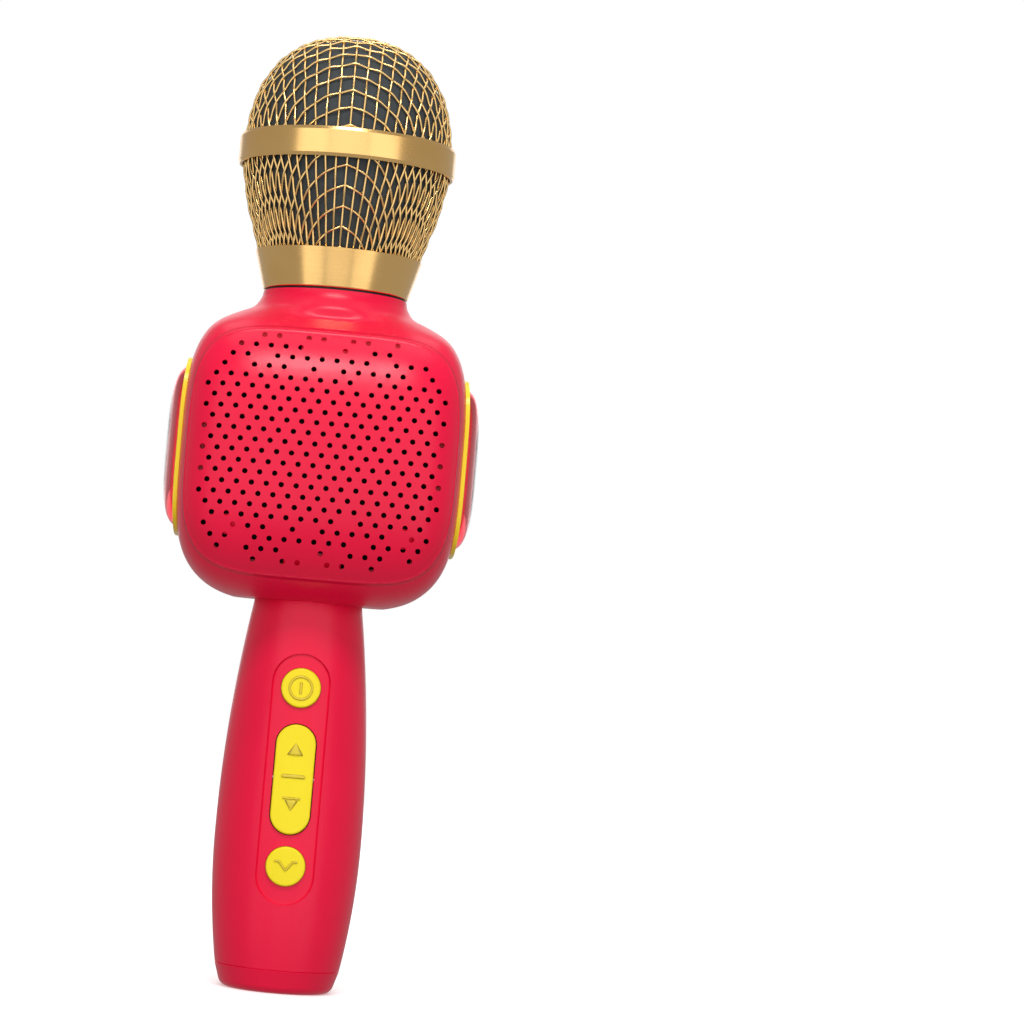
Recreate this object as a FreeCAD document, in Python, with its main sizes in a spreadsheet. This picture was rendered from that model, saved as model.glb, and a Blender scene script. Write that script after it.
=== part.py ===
import FreeCAD, Part
import math
import operator
import os
from types import SimpleNamespace

import Sketcher
from FreeCAD import Placement, Rotation, Vector

# A karaoke toy microphone, in millimetres. The origin is the middle of the flat base, +Z runs up the
# handle to the top of the wire head, and the front, with the buttons, faces -Y.

SIZES = {
    # handle
    "handle_radius": 18.25,
    "widest_height": 37.0,
    "base_radius": 15.5,
    "cap_height": 5.9,
    "cap_foot_taper": 1.8,
    "cap_seam": 0.3,
    "handle_end": 96.3,
    "handle_end_radius": 13.4,
    "handle_wall": 2.0,
    "cap_edge_round": 2.6,
    "cap_floor": 2.0,
    "cap_lip": 3.0,
    "cap_lip_wall": 1.5,
    "spigot_radius": 11.2,
    "spigot_wall": 1.8,
    "spigot_rise": 7.7,
    "flange_rim": 2.2,
    "flange_thickness": 1.8,
    # fits
    "running_gap": 0.1,
    "seat_gap": 0.05,
    # recess and buttons
    "recess_width": 14.4,
    "recess_length": 61.5,
    "recess_depth": 0.6,
    "keys_height": 52.6,
    "power_spacing": 22.35,
    "mode_spacing": 21.2,
    "key_radius": 4.85,
    "key_proud": 0.4,
    "key_edge_round": 0.55,
    "key_flange_rim": 1.15,
    "key_flange_thickness": 1.0,
    "key_flange_drop": 1.5,
    "key_stem_radius": 2.4,
    "rocker_length": 26.8,
    "rocker_gap": 0.24,
    "rocker_thickness": 3.2,
    "rocker_reach": 9.0,
    "rocker_stem_radius": 2.0,
    "rocker_pin_radius": 0.7,
    "rocker_pin_drop": 1.8,
    "rocker_block_width": 9.2,
    "rocker_block_height": 3.4,
    "rocker_lug_width": 1.8,
    "rocker_swing_room": 0.12,
    "lug_root": 0.5,
    "lug_sunk": 1.2,
    "boss_inset": 0.6,
    "screw_head_gap": 0.2,
    # parts on the key board
    "key_board_face": 8.0,
    "key_board_thickness": 1.0,
    "key_board_width": 15.0,
    "key_board_length": 62.0,
    "switch_width": 6.0,
    "switch_height": 2.0,
    "plunger_radius": 1.6,
    "plunger_rise": 1.0,
    "plunger_sunk": 1.0,
    "plunger_room": 1.8,
    "volume_free_travel": 0.46,
    # battery and charging
    "battery_radius": 9.25,
    "battery_length": 65.0,
    "battery_foot": 15.9,
    "battery_back": 4.0,
    "cradle_width": 20.0,
    "contact_thickness": 0.4,
    "contact_width": 8.0,
    "socket_width": 8.94,
    "socket_depth": 3.26,
    "socket_length": 7.3,
    "socket_wall": 0.35,
    "socket_inset": 0.4,
    "socket_cavity": 6.2,
    "socket_tongue_width": 6.7,
    "socket_tongue_depth": 0.7,
    "socket_tongue_length": 4.5,
    "charge_board_width": 16.0,
    "charge_board_depth": 12.0,
    "charge_board_thickness": 0.8,
    # handle fasteners
    "handle_boss_radius": 2.8,
    "low_boss_height": 12.0,
    "high_boss_drop": 7.3,
    "screw_radius": 1.2,
    "screw_head_radius": 2.2,
    "screw_head_thickness": 1.6,
    "screw_seat": 8.0,
    "screw_bite": 6.0,
    "screw_drive_width": 0.6,
    # speaker body
    "body_half_width": 35.0,
    "body_half_depth": 33.75,
    "body_half_height": 37.0,
    "body_floor_cut": 1.0,
    "body_wall": 2.0,
    "neck_radius": 17.85,
    "neck_rise": 3.7,
    "neck_flare": 2.5,
    "neck_flare_span": 3.0,
    "panel_plane": 25.0,
    "panel_seam": 0.2,
    "panel_lip_wall": 1.2,
    "panel_lip_reach": 3.0,
    "panel_tab_width": 14.0,
    "hole_radius": 0.66,
    "hole_pitch": 3.6,
    "hole_row_pitch": 2.6,
    "hole_field_half_width": 29.9,
    "hole_field_half_height": 29.5,
    "body_boss_radius": 3.2,
    "body_boss_side": 22.0,
    "body_boss_rise": 24.2,
    "body_boss_reach": 18.0,
    "body_rib_thickness": 1.6,
    # side lights
    "bezel_half_width": 18.4,
    "bezel_half_height": 22.0,
    "bezel_proud": 0.9,
    "bezel_ring": 1.85,
    "bezel_throat": 0.95,
    "diffuser_face": 33.0,
    "diffuser_thickness": 1.2,
    "diffuser_post_radius": 1.2,
    "diffuser_post_side": 11.0,
    "diffuser_post_rise": 14.0,
    "lens_rise": 5.8,
    "lens_wall": 1.2,
    "clef_thickness": 1.6,
    "light_board_face": 29.4,
    "light_board_thickness": 0.8,
    "light_board_half_width": 13.0,
    "light_board_half_height": 16.0,
    "lamp_width": 3.0,
    "lamp_height": 1.4,
    # speakers and main board
    "speaker_plane": 24.4,
    "speaker_radius": 23.5,
    "speaker_rim": 3.0,
    "speaker_plate": 1.2,
    "speaker_depth": 17.6,
    "magnet_radius": 13.0,
    "magnet_thickness": 7.2,
    "coil_radius": 6.4,
    "speaker_ear_side": 21.6,
    "speaker_ear_rise": 19.5,
    "speaker_ear_radius": 3.0,
    "speaker_boss_radius": 2.4,
    "speaker_screw_radius": 1.0,
    "speaker_screw_length": 3.6,
    "board_half_width": 28.0,
    "board_half_height": 27.0,
    "board_thickness": 1.2,
    # head
    "mount_bore_radius": 13.3,
    "mount_foot_drop": 10.8,
    "mount_foot_thickness": 2.2,
    "mount_foot_radius": 17.2,
    "thread_radius": 15.4,
    "thread_length": 8.6,
    "washer_thickness": 0.4,
    "collar_length": 9.6,
    "collar_foot_radius": 18.1,
    "collar_top_radius": 20.85,
    "collar_lip": 0.45,
    "collar_lip_depth": 2.4,
    "collar_round": 0.5,
    "band_middle": 208.2,
    "band_width": 7.3,
    "band_radius": 27.15,
    "mesh_thickness": 0.6,
    "ball_radius": 26.15,
    "ball_height": 30.3,
    "basket_waist_radius": 24.1,
    "basket_waist_drop": 13.7,
    "foam_gap": 0.5,
    "foam_thickness": 6.0,
    "foam_foot_thickness": 2.2,
    "holder_plate": 2.5,
    "holder_plate_rise": 3.0,
    "holder_stem_radius": 5.5,
    "holder_stem_bore": 3.5,
    "holder_stem_length": 17.5,
    "boot_radius": 8.2,
    "boot_length": 12.0,
    "boot_floor": 7.2,
    "capsule_radius": 4.85,
    "capsule_length": 4.5,
    # leads
    "lead_radius": 0.8,
    "light_pin_radius": 0.4,
    "light_pin_length": 4.0,
    "light_pin_rise": 10.0,
}

# Shape numbers that have no size: how square each curve of the speaker body and the head is.
PLAN_POWER = 4.65
FRONT_POWER = 3.8
SIDE_POWER_ABOVE = 2.6
SIDE_POWER_BELOW = 2.9
NECK_BLEND_POWER = 12.0
WINDOW_POWER = 4.2
LENS_POWER = 3.0
DOME_POWER = 2.35
PANEL_HOLE_POWER = 3.4

doc = FreeCAD.newDocument("ToyMicrophone")
sheet = doc.addObject("Spreadsheet::Sheet", "Sizes")
for row, (alias, number) in enumerate(SIZES.items(), start=1):
    sheet.set(f"A{row}", alias)
    sheet.set(f"B{row}", str(number))
    sheet.setAlias(f"B{row}", alias)
doc.recompute()


class Size:
    """A length with the sheet formula that it comes from, so that features can be bound to it."""

    def __init__(self, value, text):
        self.value = float(value)
        self.text = text

    def __float__(self):
        return self.value

    def __neg__(self):
        return combine(0, "-", self)

    def __add__(self, other):
        return combine(self, "+", other)

    def __radd__(self, other):
        return combine(other, "+", self)

    def __sub__(self, other):
        return combine(self, "-", other)

    def __rsub__(self, other):
        return combine(other, "-", self)

    def __mul__(self, other):
        return combine(self, "*", other)

    def __rmul__(self, other):
        return combine(other, "*", self)

    def __truediv__(self, other):
        return combine(self, "/", other)


SIGNS = {"+": operator.add, "-": operator.sub, "*": operator.mul, "/": operator.truediv}


def as_size(thing):
    """Give a plain number the same form as a size from the sheet."""
    return thing if isinstance(thing, Size) else Size(thing, repr(float(thing)))


def combine(left, sign, right):
    """Join two lengths: the number is worked out, and the formula is kept."""
    left = as_size(left)
    right = as_size(right)
    return Size(SIGNS[sign](left.value, right.value), f"({left.text} {sign} {right.text})")


S = SimpleNamespace(**{name: Size(sheet.get(name), f"Sizes.{name}") for name in SIZES})

# Places that several pieces share.
BODY_MID = S.handle_end + S.body_half_height - S.body_floor_cut
NECK_TOP = BODY_MID + S.body_half_height + S.neck_rise
COLLAR_FOOT = NECK_TOP + S.washer_thickness + 2 * S.seat_gap
COLLAR_TOP = COLLAR_FOOT + S.collar_length
BASKET_FOOT = COLLAR_TOP - S.collar_lip_depth
POWER_HEIGHT = S.keys_height + S.power_spacing
MODE_HEIGHT = S.keys_height - S.mode_spacing
SWITCH_FACE = S.key_board_face + S.switch_height
STEM_TIP = SWITCH_FACE + S.plunger_rise
HIGH_BOSS_HEIGHT = S.handle_end - S.high_boss_drop
LENS_HALF_WIDTH = S.bezel_half_width - S.bezel_ring
LENS_HALF_HEIGHT = S.bezel_half_height - S.bezel_ring
FACING = {
    "z": Rotation(),
    "-y": Rotation(Vector(1, 0, 0), 90),
    "y": Rotation(Vector(1, 0, 0), -90),
    "x": Rotation(Vector(0, 1, 0), 90),
    "-x": Rotation(Vector(0, 1, 0), -90),
}
HALF_TURN = Rotation(Vector(0, 0, 1), 180)
AXES = "xyz"
exported = []


# ---------------------------------------------------------------- general makers


def bind(thing, **formulas):
    """Tie properties of a document object to sheet formulas."""
    for name, length in formulas.items():
        thing.setExpression(name, as_size(length).text)
    return thing


def place(thing, at=(0, 0, 0), turn=None):
    """Put an object at a place that stays tied to the sheet, turned by a fixed rotation."""
    thing.Placement = Placement(Vector(), turn or Rotation())
    for axis, length in zip(AXES, at):
        thing.setExpression(f"Placement.Base.{axis}", as_size(length).text)
    return thing


def cylinder(name, radius, height, at=(0, 0, 0), facing="z"):
    """Part cylinder from a point along the way that it faces."""
    thing = bind(doc.addObject("Part::Cylinder", name), Radius=radius, Height=height)
    return place(thing, at, FACING[facing])


def box(name, width, depth, height, corner):
    """Part box from its lowest corner."""
    return place(bind(doc.addObject("Part::Box", name), Length=width, Width=depth, Height=height), corner)


def middle_box(name, width, depth, height, middle):
    """Part box about a middle point."""
    x, y, z = middle
    return box(name, width, depth, height, (x - width / 2, y - depth / 2, z - height / 2))


def fuse(name, *shapes):
    """Join pieces into one."""
    joined = doc.addObject("Part::MultiFuse", name)
    joined.Shapes = list(shapes)
    return joined


def common(name, *shapes):
    """Keep only what the pieces share."""
    shared = doc.addObject("Part::MultiCommon", name)
    shared.Shapes = list(shapes)
    return shared


def cut(name, base, *tools):
    """Take tools away from a piece."""
    result = doc.addObject("Part::Cut", name)
    result.Base = base
    result.Tool = tools[0] if len(tools) == 1 else fuse(f"{name}_tools", *tools)
    return result


def group(name, *shapes):
    """Several separate solids kept as one object."""
    gathered = doc.addObject("Part::Compound", name)
    gathered.Links = list(shapes)
    return gathered


def feature(name, shape, at=(0, 0, 0), turn=None):
    """A document object for a shape that needs Part's own functions."""
    made = doc.addObject("Part::Feature", name)
    made.Shape = shape
    made.Placement = Placement(Vector(*(float(length) for length in at)), turn or Rotation())
    return made


def node(label, thing):
    """Name a finished sub-part and note it for export."""
    thing.Label = label
    exported.append(thing)
    return thing


def arc_edge(start, end, centre_height):
    """Circle arc between two points about a centre at a known height, and whether it runs forwards."""
    rise = (centre_height - end.y) ** 2 - (centre_height - start.y) ** 2
    centre_x = (end.x ** 2 - start.x ** 2 + rise) / (2 * (end.x - start.x))
    centre = Vector(centre_x, centre_height, 0)
    first = start - centre
    last = end - centre
    forwards = first.x * last.y - first.y * last.x >= -1e-9
    if not forwards:
        first, last = last, first
    circle = Part.Circle(centre, Vector(0, 0, 1), first.Length)
    return Part.ArcOfCircle(circle, math.atan2(first.y, first.x), math.atan2(last.y, last.x)), forwards


def outline(body, name, points, arcs=None, role="XZ_Plane"):
    """Closed sketch with every corner tied to the sheet; arcs gives the centre height of curved edges."""
    arcs = arcs or {}
    sketch = body.newObject("Sketcher::SketchObject", name)
    plane = [item for item in body.Origin.OriginFeatures if item.Role == role][0]
    sketch.AttachmentSupport = [(plane, "")]
    sketch.MapMode = "FlatFace"
    corners = [Vector(float(x), float(y), 0) for x, y in points]
    ends = []
    for i, corner in enumerate(corners):
        following = corners[(i + 1) % len(corners)]
        if i in arcs:
            edge, forwards = arc_edge(corner, following, float(arcs[i]))
        else:
            edge, forwards = Part.LineSegment(corner, following), True
        sketch.addGeometry(edge, False)
        ends.append((1, 2) if forwards else (2, 1))
    for i, (x, y) in enumerate(points):
        following = (i + 1) % len(points)
        sketch.addConstraint(Sketcher.Constraint("Coincident", i, ends[i][1], following, ends[following][0]))
        held = [("DistanceX", ends[i][0], corners[i].x, x), ("DistanceY", ends[i][0], corners[i].y, y)]
        if i in arcs:
            held.append(("DistanceY", 3, float(arcs[i]), arcs[i]))
        for kind, point, value, length in held:
            index = sketch.addConstraint(Sketcher.Constraint(kind, -1, 1, i, point, value))
            sketch.setExpression(f"Constraints[{index}]", as_size(length).text)
    return sketch


def turned(name, points, arcs=None, angle=360, at=(0, 0, 0), facing="z", front=False):
    """Body turned about its own Z from an outline of (radius, height) corners."""
    body = doc.addObject("PartDesign::Body", name)
    sketch = outline(body, f"{name}_outline", points, arcs)
    turn = body.newObject("PartDesign::Revolution", f"{name}_turn")
    turn.Profile = sketch
    turn.ReferenceAxis = (sketch, ["V_Axis"])
    turn.Angle = angle
    turn.Reversed = front
    body.Tip = turn
    return place(body, at, FACING[facing])


def padded_outline(name, points, depth, role, arcs=None, at=(0, 0, 0), turn=None):
    """Body padded from an outline: XZ pads towards -Y, YZ towards +X and XY towards +Z."""
    body = doc.addObject("PartDesign::Body", name)
    pad = body.newObject("PartDesign::Pad", f"{name}_pad")
    pad.Profile = outline(body, f"{name}_outline", points, arcs, role)
    bind(pad, Length=depth)
    body.Tip = pad
    return place(body, at, turn)


def round_edges(body, radius, chosen):
    """PartDesign fillet on the edges of the body's tip that pass a test."""
    doc.recompute()
    tip = body.Tip
    names = [f"Edge{i}" for i, edge in enumerate(tip.Shape.Edges, start=1) if chosen(edge)]
    fillet = body.newObject("PartDesign::Fillet", f"{body.Name}_round")
    fillet.Base = (tip, names)
    bind(fillet, Radius=radius)
    body.Tip = fillet
    return body


def stadium(name, width, length, depth, at):
    """Upright slot shape with round ends, padded towards -Y."""
    side = width / 2
    end = length / 2 - side
    points = [(side, -end), (side, end), (-side, end), (-side, -end)]
    return padded_outline(name, points, depth, "XZ_Plane", {1: end, 3: -end}, at)


def run_of_lead(points, radius):
    """Round lead along straight runs with a tangent arc at each bend."""
    corners = [Vector(*(float(length) for length in point)) for point in points]
    edges = []
    start = corners[0]
    for before, corner, after in zip(corners, corners[1:], corners[2:]):
        inward = (corner - before).normalize()
        outward = (after - corner).normalize()
        half_turn = inward.getAngle(outward) / 2
        reach = 0.45 * min((corner - before).Length, (after - corner).Length)
        bend = reach / math.tan(half_turn)
        first = corner - inward * reach
        last = corner + outward * reach
        inside = (outward - inward).normalize()
        middle = corner + inside * (bend / math.cos(half_turn) - bend)
        print(f"bend radius {bend:.2f}")
        edges.append(Part.makeLine(start, first))
        edges.append(Part.Arc(first, middle, last).toShape())
        start = last
    edges.append(Part.makeLine(start, corners[-1]))
    path = Part.Wire(edges)
    along = (corners[1] - corners[0]).normalize()
    ring = Part.Wire(Part.makeCircle(radius.value, corners[0], along))
    pipe = path.makePipeShell([ring], True, False)
    straight = math.pi * radius.value ** 2 * path.Length
    if abs(pipe.Volume - straight) > 0.02 * straight:
        raise ValueError(f"lead volume {pipe.Volume:.1f} is not {straight:.1f}")
    return pipe


# ---------------------------------------------------------------- handle


def handle_radius_at(height):
    """Outer radius of the handle: it falls off with the square of the distance from its widest ring."""
    above = float(height) > S.widest_height.value
    end_radius = S.handle_end_radius if above else S.base_radius
    end_height = S.handle_end if above else S.cap_height
    share = (height - S.widest_height) / (end_height - S.widest_height)
    return S.handle_radius - (S.handle_radius - end_radius) * share * share


def handle_solid(name, out, front=None):
    """Solid of the handle's own outline, grown outwards by a length; half of it if front is given."""
    points = [
        (0, S.cap_height),
        (S.base_radius + out, S.cap_height),
        (S.handle_radius + out, S.widest_height),
        (S.handle_end_radius + out, S.handle_end),
        (0, S.handle_end),
    ]
    arcs = {1: S.widest_height, 2: S.widest_height}
    if front is None:
        return turned(name, points, arcs)
    return turned(name, points, arcs, angle=180, front=front)


def handle_half(name, front):
    """Half of the handle tube with its spigot and flange, which the speaker body closes on."""
    floor_top = S.handle_end + S.body_wall + S.running_gap
    flange_top = floor_top + S.flange_thickness
    spigot_top = S.handle_end + S.spigot_rise
    flange = S.spigot_radius + S.flange_rim
    bore = S.spigot_radius - S.spigot_wall
    shoulder = S.handle_end - S.handle_wall
    points = [
        (S.base_radius, S.cap_height),
        (S.handle_radius, S.widest_height),
        (S.handle_end_radius, S.handle_end),
        (S.spigot_radius, S.handle_end),
        (S.spigot_radius, floor_top),
        (flange, floor_top),
        (flange, flange_top),
        (S.spigot_radius, flange_top),
        (S.spigot_radius, spigot_top),
        (bore, spigot_top),
        (bore, shoulder),
        (S.handle_end_radius - S.handle_wall, shoulder),
        (S.handle_radius - S.handle_wall, S.widest_height),
        (S.base_radius - S.handle_wall, S.cap_height),
    ]
    arcs = {0: S.widest_height, 1: S.widest_height, 11: S.widest_height, 12: S.widest_height}
    return turned(name, points, arcs, angle=180, front=front)


def handle_bosses(name, facing):
    """The two screw columns of one handle half."""
    low_reach = S.base_radius - S.boss_inset
    low = cylinder(f"{name}_low", S.handle_boss_radius, low_reach, (0, 0, S.low_boss_height), facing)
    high_reach = S.handle_end_radius - S.boss_inset / 2
    high = cylinder(f"{name}_high", S.handle_boss_radius, high_reach, (0, 0, HIGH_BOSS_HEIGHT), facing)
    return low, high


def screw_heights():
    return {"low": S.low_boss_height, "high": HIGH_BOSS_HEIGHT}


def make_handle_front_shell():
    """Front half: a shallow stadium recess that follows the surface, and the three button openings."""
    front = handle_half("handle_front_half", True)
    half = fuse("handle_front_filled", front, *handle_bosses("front_boss", "-y"))
    middle = (0, 0, S.keys_height)
    window = stadium("recess_window", S.recess_width, S.recess_length, S.handle_radius, middle)
    outside = handle_solid("recess_outside", S.recess_depth)
    band = cut("recess_band", outside, handle_solid("recess_floor", -S.recess_depth))
    recess = common("recess", window, band)
    deep = 2 * S.handle_radius
    hole = S.key_radius + S.running_gap
    openings = [
        cylinder("power_opening", hole, deep, (0, -S.key_board_face, POWER_HEIGHT), "-y"),
        cylinder("mode_opening", hole, deep, (0, -S.key_board_face, MODE_HEIGHT), "-y"),
        stadium(
            "rocker_opening",
            2 * (S.key_radius + S.rocker_gap),
            S.rocker_length + 2 * S.rocker_gap,
            deep,
            (0, -S.key_board_face, S.keys_height),
        ),
    ]
    pilots = [
        cylinder(f"{name}_pilot", S.screw_radius, S.screw_bite + S.seat_gap, (0, 0, height), "-y")
        for name, height in screw_heights().items()
    ]
    opened = cut("handle_front_opened", half, recess, *openings, *pilots)
    pin_plane = rocker_pin_plane()
    lug_inner = S.rocker_block_width / 2 + S.running_gap
    lug_depth = S.rocker_pin_drop + S.handle_wall / 2 + S.rocker_pin_radius + S.lug_root
    lug_plane = pin_plane + lug_depth / 2 - S.lug_sunk
    blocks = []
    for name, side in (("left", -1), ("right", 1)):
        at = (side * (lug_inner + S.rocker_lug_width / 2), -lug_plane, S.keys_height)
        blocks.append(middle_box(f"{name}_lug", S.rocker_lug_width, lug_depth, S.rocker_block_height, at))
    inside = handle_solid("lug_limit", -S.recess_depth - 0.2)
    lugs = common("lugs", fuse("lug_blocks", *blocks), inside)
    swing_floor = handle_radius_at(S.keys_height) - S.rocker_thickness - S.rocker_swing_room
    slot = stadium(
        "rocker_swing",
        2 * (S.key_radius + S.rocker_gap),
        S.rocker_length + 2 * S.rocker_gap,
        deep,
        (0, -swing_floor, S.keys_height),
    )
    pin_hole = rocker_cylinder("lug_pin_hole", S.rocker_pin_radius)
    whole = fuse("with_lugs", opened, lugs)
    return node("handle_front_shell", cut("handle_front_shell", whole, slot, pin_hole))


def make_handle_rear_shell():
    """Rear half: screw columns with sunk seats for the heads."""
    rear = handle_half("handle_rear_half", False)
    half = fuse("handle_rear_filled", rear, *handle_bosses("rear_boss", "y"))
    sink = S.screw_head_radius + S.screw_head_gap
    tools = []
    for name, height in screw_heights().items():
        deep = S.handle_radius
        tools.append(cylinder(f"{name}_clear", S.screw_radius, deep, (0, 0, height), "y"))
        tools.append(cylinder(f"{name}_sink", sink, deep, (0, S.screw_seat, height), "y"))
    return node("handle_rear_shell", cut("handle_rear_shell", half, *tools))


def make_bottom_cap():
    """Round cap with a softened base edge, a lip into the handle and an opening for the charging socket."""
    lip = S.base_radius - S.handle_wall - S.seat_gap
    points = [
        (0, 0),
        (S.base_radius - S.cap_foot_taper, 0),
        (S.base_radius, S.cap_height - S.cap_seam),
        (S.base_radius - S.cap_seam, S.cap_height),
        (lip, S.cap_height),
        (lip, S.cap_height + S.cap_lip),
        (lip - S.cap_lip_wall, S.cap_height + S.cap_lip),
        (lip - S.cap_lip_wall, S.cap_floor),
        (0, S.cap_floor),
    ]
    cap = turned("cap_turned", points)
    round_edges(cap, S.cap_edge_round, lambda edge: edge.BoundBox.ZMax < 0.01 and edge.Length > 50)
    slot = socket_block("cap_slot", S.running_gap, S.cap_floor + 2, -1)
    return node("bottom_cap", cut("bottom_cap", cap, slot))


def socket_block(name, out, length, foot):
    """Upright block with round sides, the shape of the charging socket grown by a length."""
    width = S.socket_width / 2 + out
    side = S.socket_depth / 2 + out
    flat = width - side
    points = [(-flat, -side), (flat, -side), (flat, side), (-flat, side)]
    body = doc.addObject("PartDesign::Body", name)
    sketch = body.newObject("Sketcher::SketchObject", f"{name}_outline")
    plane = [item for item in body.Origin.OriginFeatures if item.Role == "XY_Plane"][0]
    sketch.AttachmentSupport = [(plane, "")]
    sketch.MapMode = "FlatFace"
    corners = [Vector(float(x), float(y), 0) for x, y in points]
    right = Part.Arc(corners[1], Vector(width.value, 0, 0), corners[2])
    left = Part.Arc(corners[3], Vector(-width.value, 0, 0), corners[0])
    front, rear = Part.LineSegment(corners[0], corners[1]), Part.LineSegment(corners[2], corners[3])
    for edge in (front, right, rear, left):
        sketch.addGeometry(edge, False)
    for i in range(4):
        sketch.addConstraint(Sketcher.Constraint("Coincident", i, 2, (i + 1) % 4, 1))
        for kind, value, length_tied in (
            ("DistanceX", corners[i].x, points[i][0]),
            ("DistanceY", corners[i].y, points[i][1]),
        ):
            index = sketch.addConstraint(Sketcher.Constraint(kind, -1, 1, i, 1, value))
            sketch.setExpression(f"Constraints[{index}]", as_size(length_tied).text)
    for i, side_centre in ((1, flat), (3, -flat)):
        index = sketch.addConstraint(Sketcher.Constraint("DistanceX", -1, 1, i, 3, side_centre.value))
        sketch.setExpression(f"Constraints[{index}]", side_centre.text)
    pad = body.newObject("PartDesign::Pad", f"{name}_pad")
    pad.Profile = sketch
    bind(pad, Length=length)
    body.Tip = pad
    return place(body, (0, 0, foot))


def make_charging():
    """Charging socket standing in the cap, and the small board that carries it."""
    shell = socket_block("socket_shell", 0, S.socket_length, S.socket_inset)
    cavity = socket_block("socket_cavity_tool", -S.socket_wall, S.socket_cavity + 1, S.socket_inset - 1)
    tongue_foot = S.socket_inset + S.socket_cavity - S.socket_tongue_length
    tongue = middle_box(
        "socket_tongue",
        S.socket_tongue_width,
        S.socket_tongue_depth,
        S.socket_tongue_length + 0.2,
        (0, 0, tongue_foot + (S.socket_tongue_length + 0.2) / 2),
    )
    node("charging_socket", fuse("charging_socket", cut("socket_hollow", shell, cavity), tongue))
    board_foot = S.socket_inset + S.socket_length
    board = middle_box(
        "charge_board",
        S.charge_board_width,
        S.charge_board_depth,
        S.charge_board_thickness,
        (0, 0, board_foot + S.charge_board_thickness / 2),
    )
    node("charge_board", board)


def recessed_screw(name, at, facing, shank, radius, head_radius, head_thickness):
    """Pan-head screw along one axis with a cross recess, its head seat at the given place."""
    away = {"y": "-y", "-y": "y"}[facing]
    sign = 1 if facing == "y" else -1
    x, y, z = at
    body = cylinder(f"{name}_shank", radius, shank, at, away)
    head = cylinder(f"{name}_head", head_radius, head_thickness, at, facing)
    drive_middle = (x, y + sign * head_thickness, z)
    long = head_radius * 1.2
    slots = [
        middle_box(f"{name}_slot_a", long, head_thickness, S.screw_drive_width, drive_middle),
        middle_box(f"{name}_slot_b", S.screw_drive_width, head_thickness, long, drive_middle),
    ]
    return cut(name, fuse(f"{name}_blank", body, head), *slots)


def make_handle_screws():
    """Two screws through the rear half into the front half."""
    screws = [
        recessed_screw(
            f"handle_screw_{name}",
            (0, S.screw_seat, height),
            "y",
            S.screw_seat + S.screw_bite,
            S.screw_radius,
            S.screw_head_radius,
            S.screw_head_thickness,
        )
        for name, height in screw_heights().items()
    ]
    node("handle_screws", group("handle_screws", *screws))


# ---------------------------------------------------------------- buttons


def rim_edges(shape, beyond):
    """Numbers of the curved edges around a button's outer face."""
    return [
        i
        for i, edge in enumerate(shape.Edges, start=1)
        if edge.CenterOfMass.y < -beyond and edge.Length > 2 and edge.BoundBox.YLength < edge.Length / 3
    ]


def softened_cap(name, blank, height):
    """Button cap cut to the handle's curve a little proud of it, with its rim rounded."""
    skin = handle_solid(f"{name}_skin", S.key_proud)
    cap = common(f"{name}_cap", blank, skin)
    doc.recompute()
    rounded = doc.addObject("Part::Fillet", f"{name}_rounded")
    rounded.Base = cap
    radius = S.key_edge_round.value
    inner = handle_radius_at(height).value - S.recess_depth.value - S.key_proud.value
    rounded.Edges = [(i, radius, radius) for i in rim_edges(cap.Shape, inner)]
    return rounded


def make_round_button(name, height):
    """Round button: cap, a flange that keeps it in and a stem down to its switch plunger."""
    flange_top = height + S.key_radius + S.key_flange_rim
    flange_face = handle_radius_at(flange_top) - S.handle_wall - S.key_flange_drop
    flange_back = flange_face - S.key_flange_thickness
    blank = cylinder(f"{name}_blank", S.key_radius, S.handle_radius, (0, -flange_back, height), "-y")
    flange_radius = S.key_radius + S.key_flange_rim
    flange_at = (0, -flange_back, height)
    flange = cylinder(f"{name}_flange", flange_radius, S.key_flange_thickness, flange_at, "-y")
    pieces = [softened_cap(name, blank, height), flange]
    stem_length = flange_face - STEM_TIP
    pieces.append(cylinder(f"{name}_stem", S.key_stem_radius, stem_length, (0, -STEM_TIP, height), "-y"))
    node(name, fuse(name, *pieces))


def rocker_pin_plane():
    """How far in front of the handle's axis the rocker turns."""
    return handle_radius_at(S.keys_height) - S.handle_wall - S.rocker_pin_drop


def rocker_cylinder(name, radius, side_gap=0):
    """Cylinder on the rocker's turning axis."""
    reach = S.rocker_block_width / 2 + S.rocker_lug_width + S.running_gap + side_gap
    return cylinder(name, radius, 2 * reach, (-reach, -rocker_pin_plane(), S.keys_height), "x")


def make_volume_rocker():
    """Long rocker with a bearing block behind its middle and a stem at each end."""
    back = handle_radius_at(S.keys_height) - S.rocker_thickness
    blank = stadium(
        "rocker_blank",
        2 * S.key_radius,
        S.rocker_length,
        S.handle_radius,
        (0, -back, S.keys_height),
    )
    cap = softened_cap("volume_rocker", blank, S.keys_height)
    pin_plane = rocker_pin_plane()
    block_depth = back - pin_plane + S.rocker_pin_radius + 1
    block = middle_box(
        "rocker_block",
        S.rocker_block_width,
        block_depth,
        S.rocker_block_height,
        (0, -(back - block_depth / 2 + 0.2), S.keys_height),
    )
    tip = STEM_TIP
    stems = [
        cylinder(
            f"rocker_stem_{name}",
            S.rocker_stem_radius,
            back - tip + 0.2,
            (0, -tip, S.keys_height + side * S.rocker_reach),
            "-y",
        )
        for name, side in (("up", 1), ("down", -1))
    ]
    bore = rocker_cylinder("rocker_bore", S.rocker_pin_radius + S.seat_gap)
    node("volume_rocker", cut("volume_rocker", fuse("rocker_body", cap, block, *stems), bore))
    node("rocker_pin", rocker_cylinder("rocker_pin", S.rocker_pin_radius, -S.seat_gap))


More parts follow.
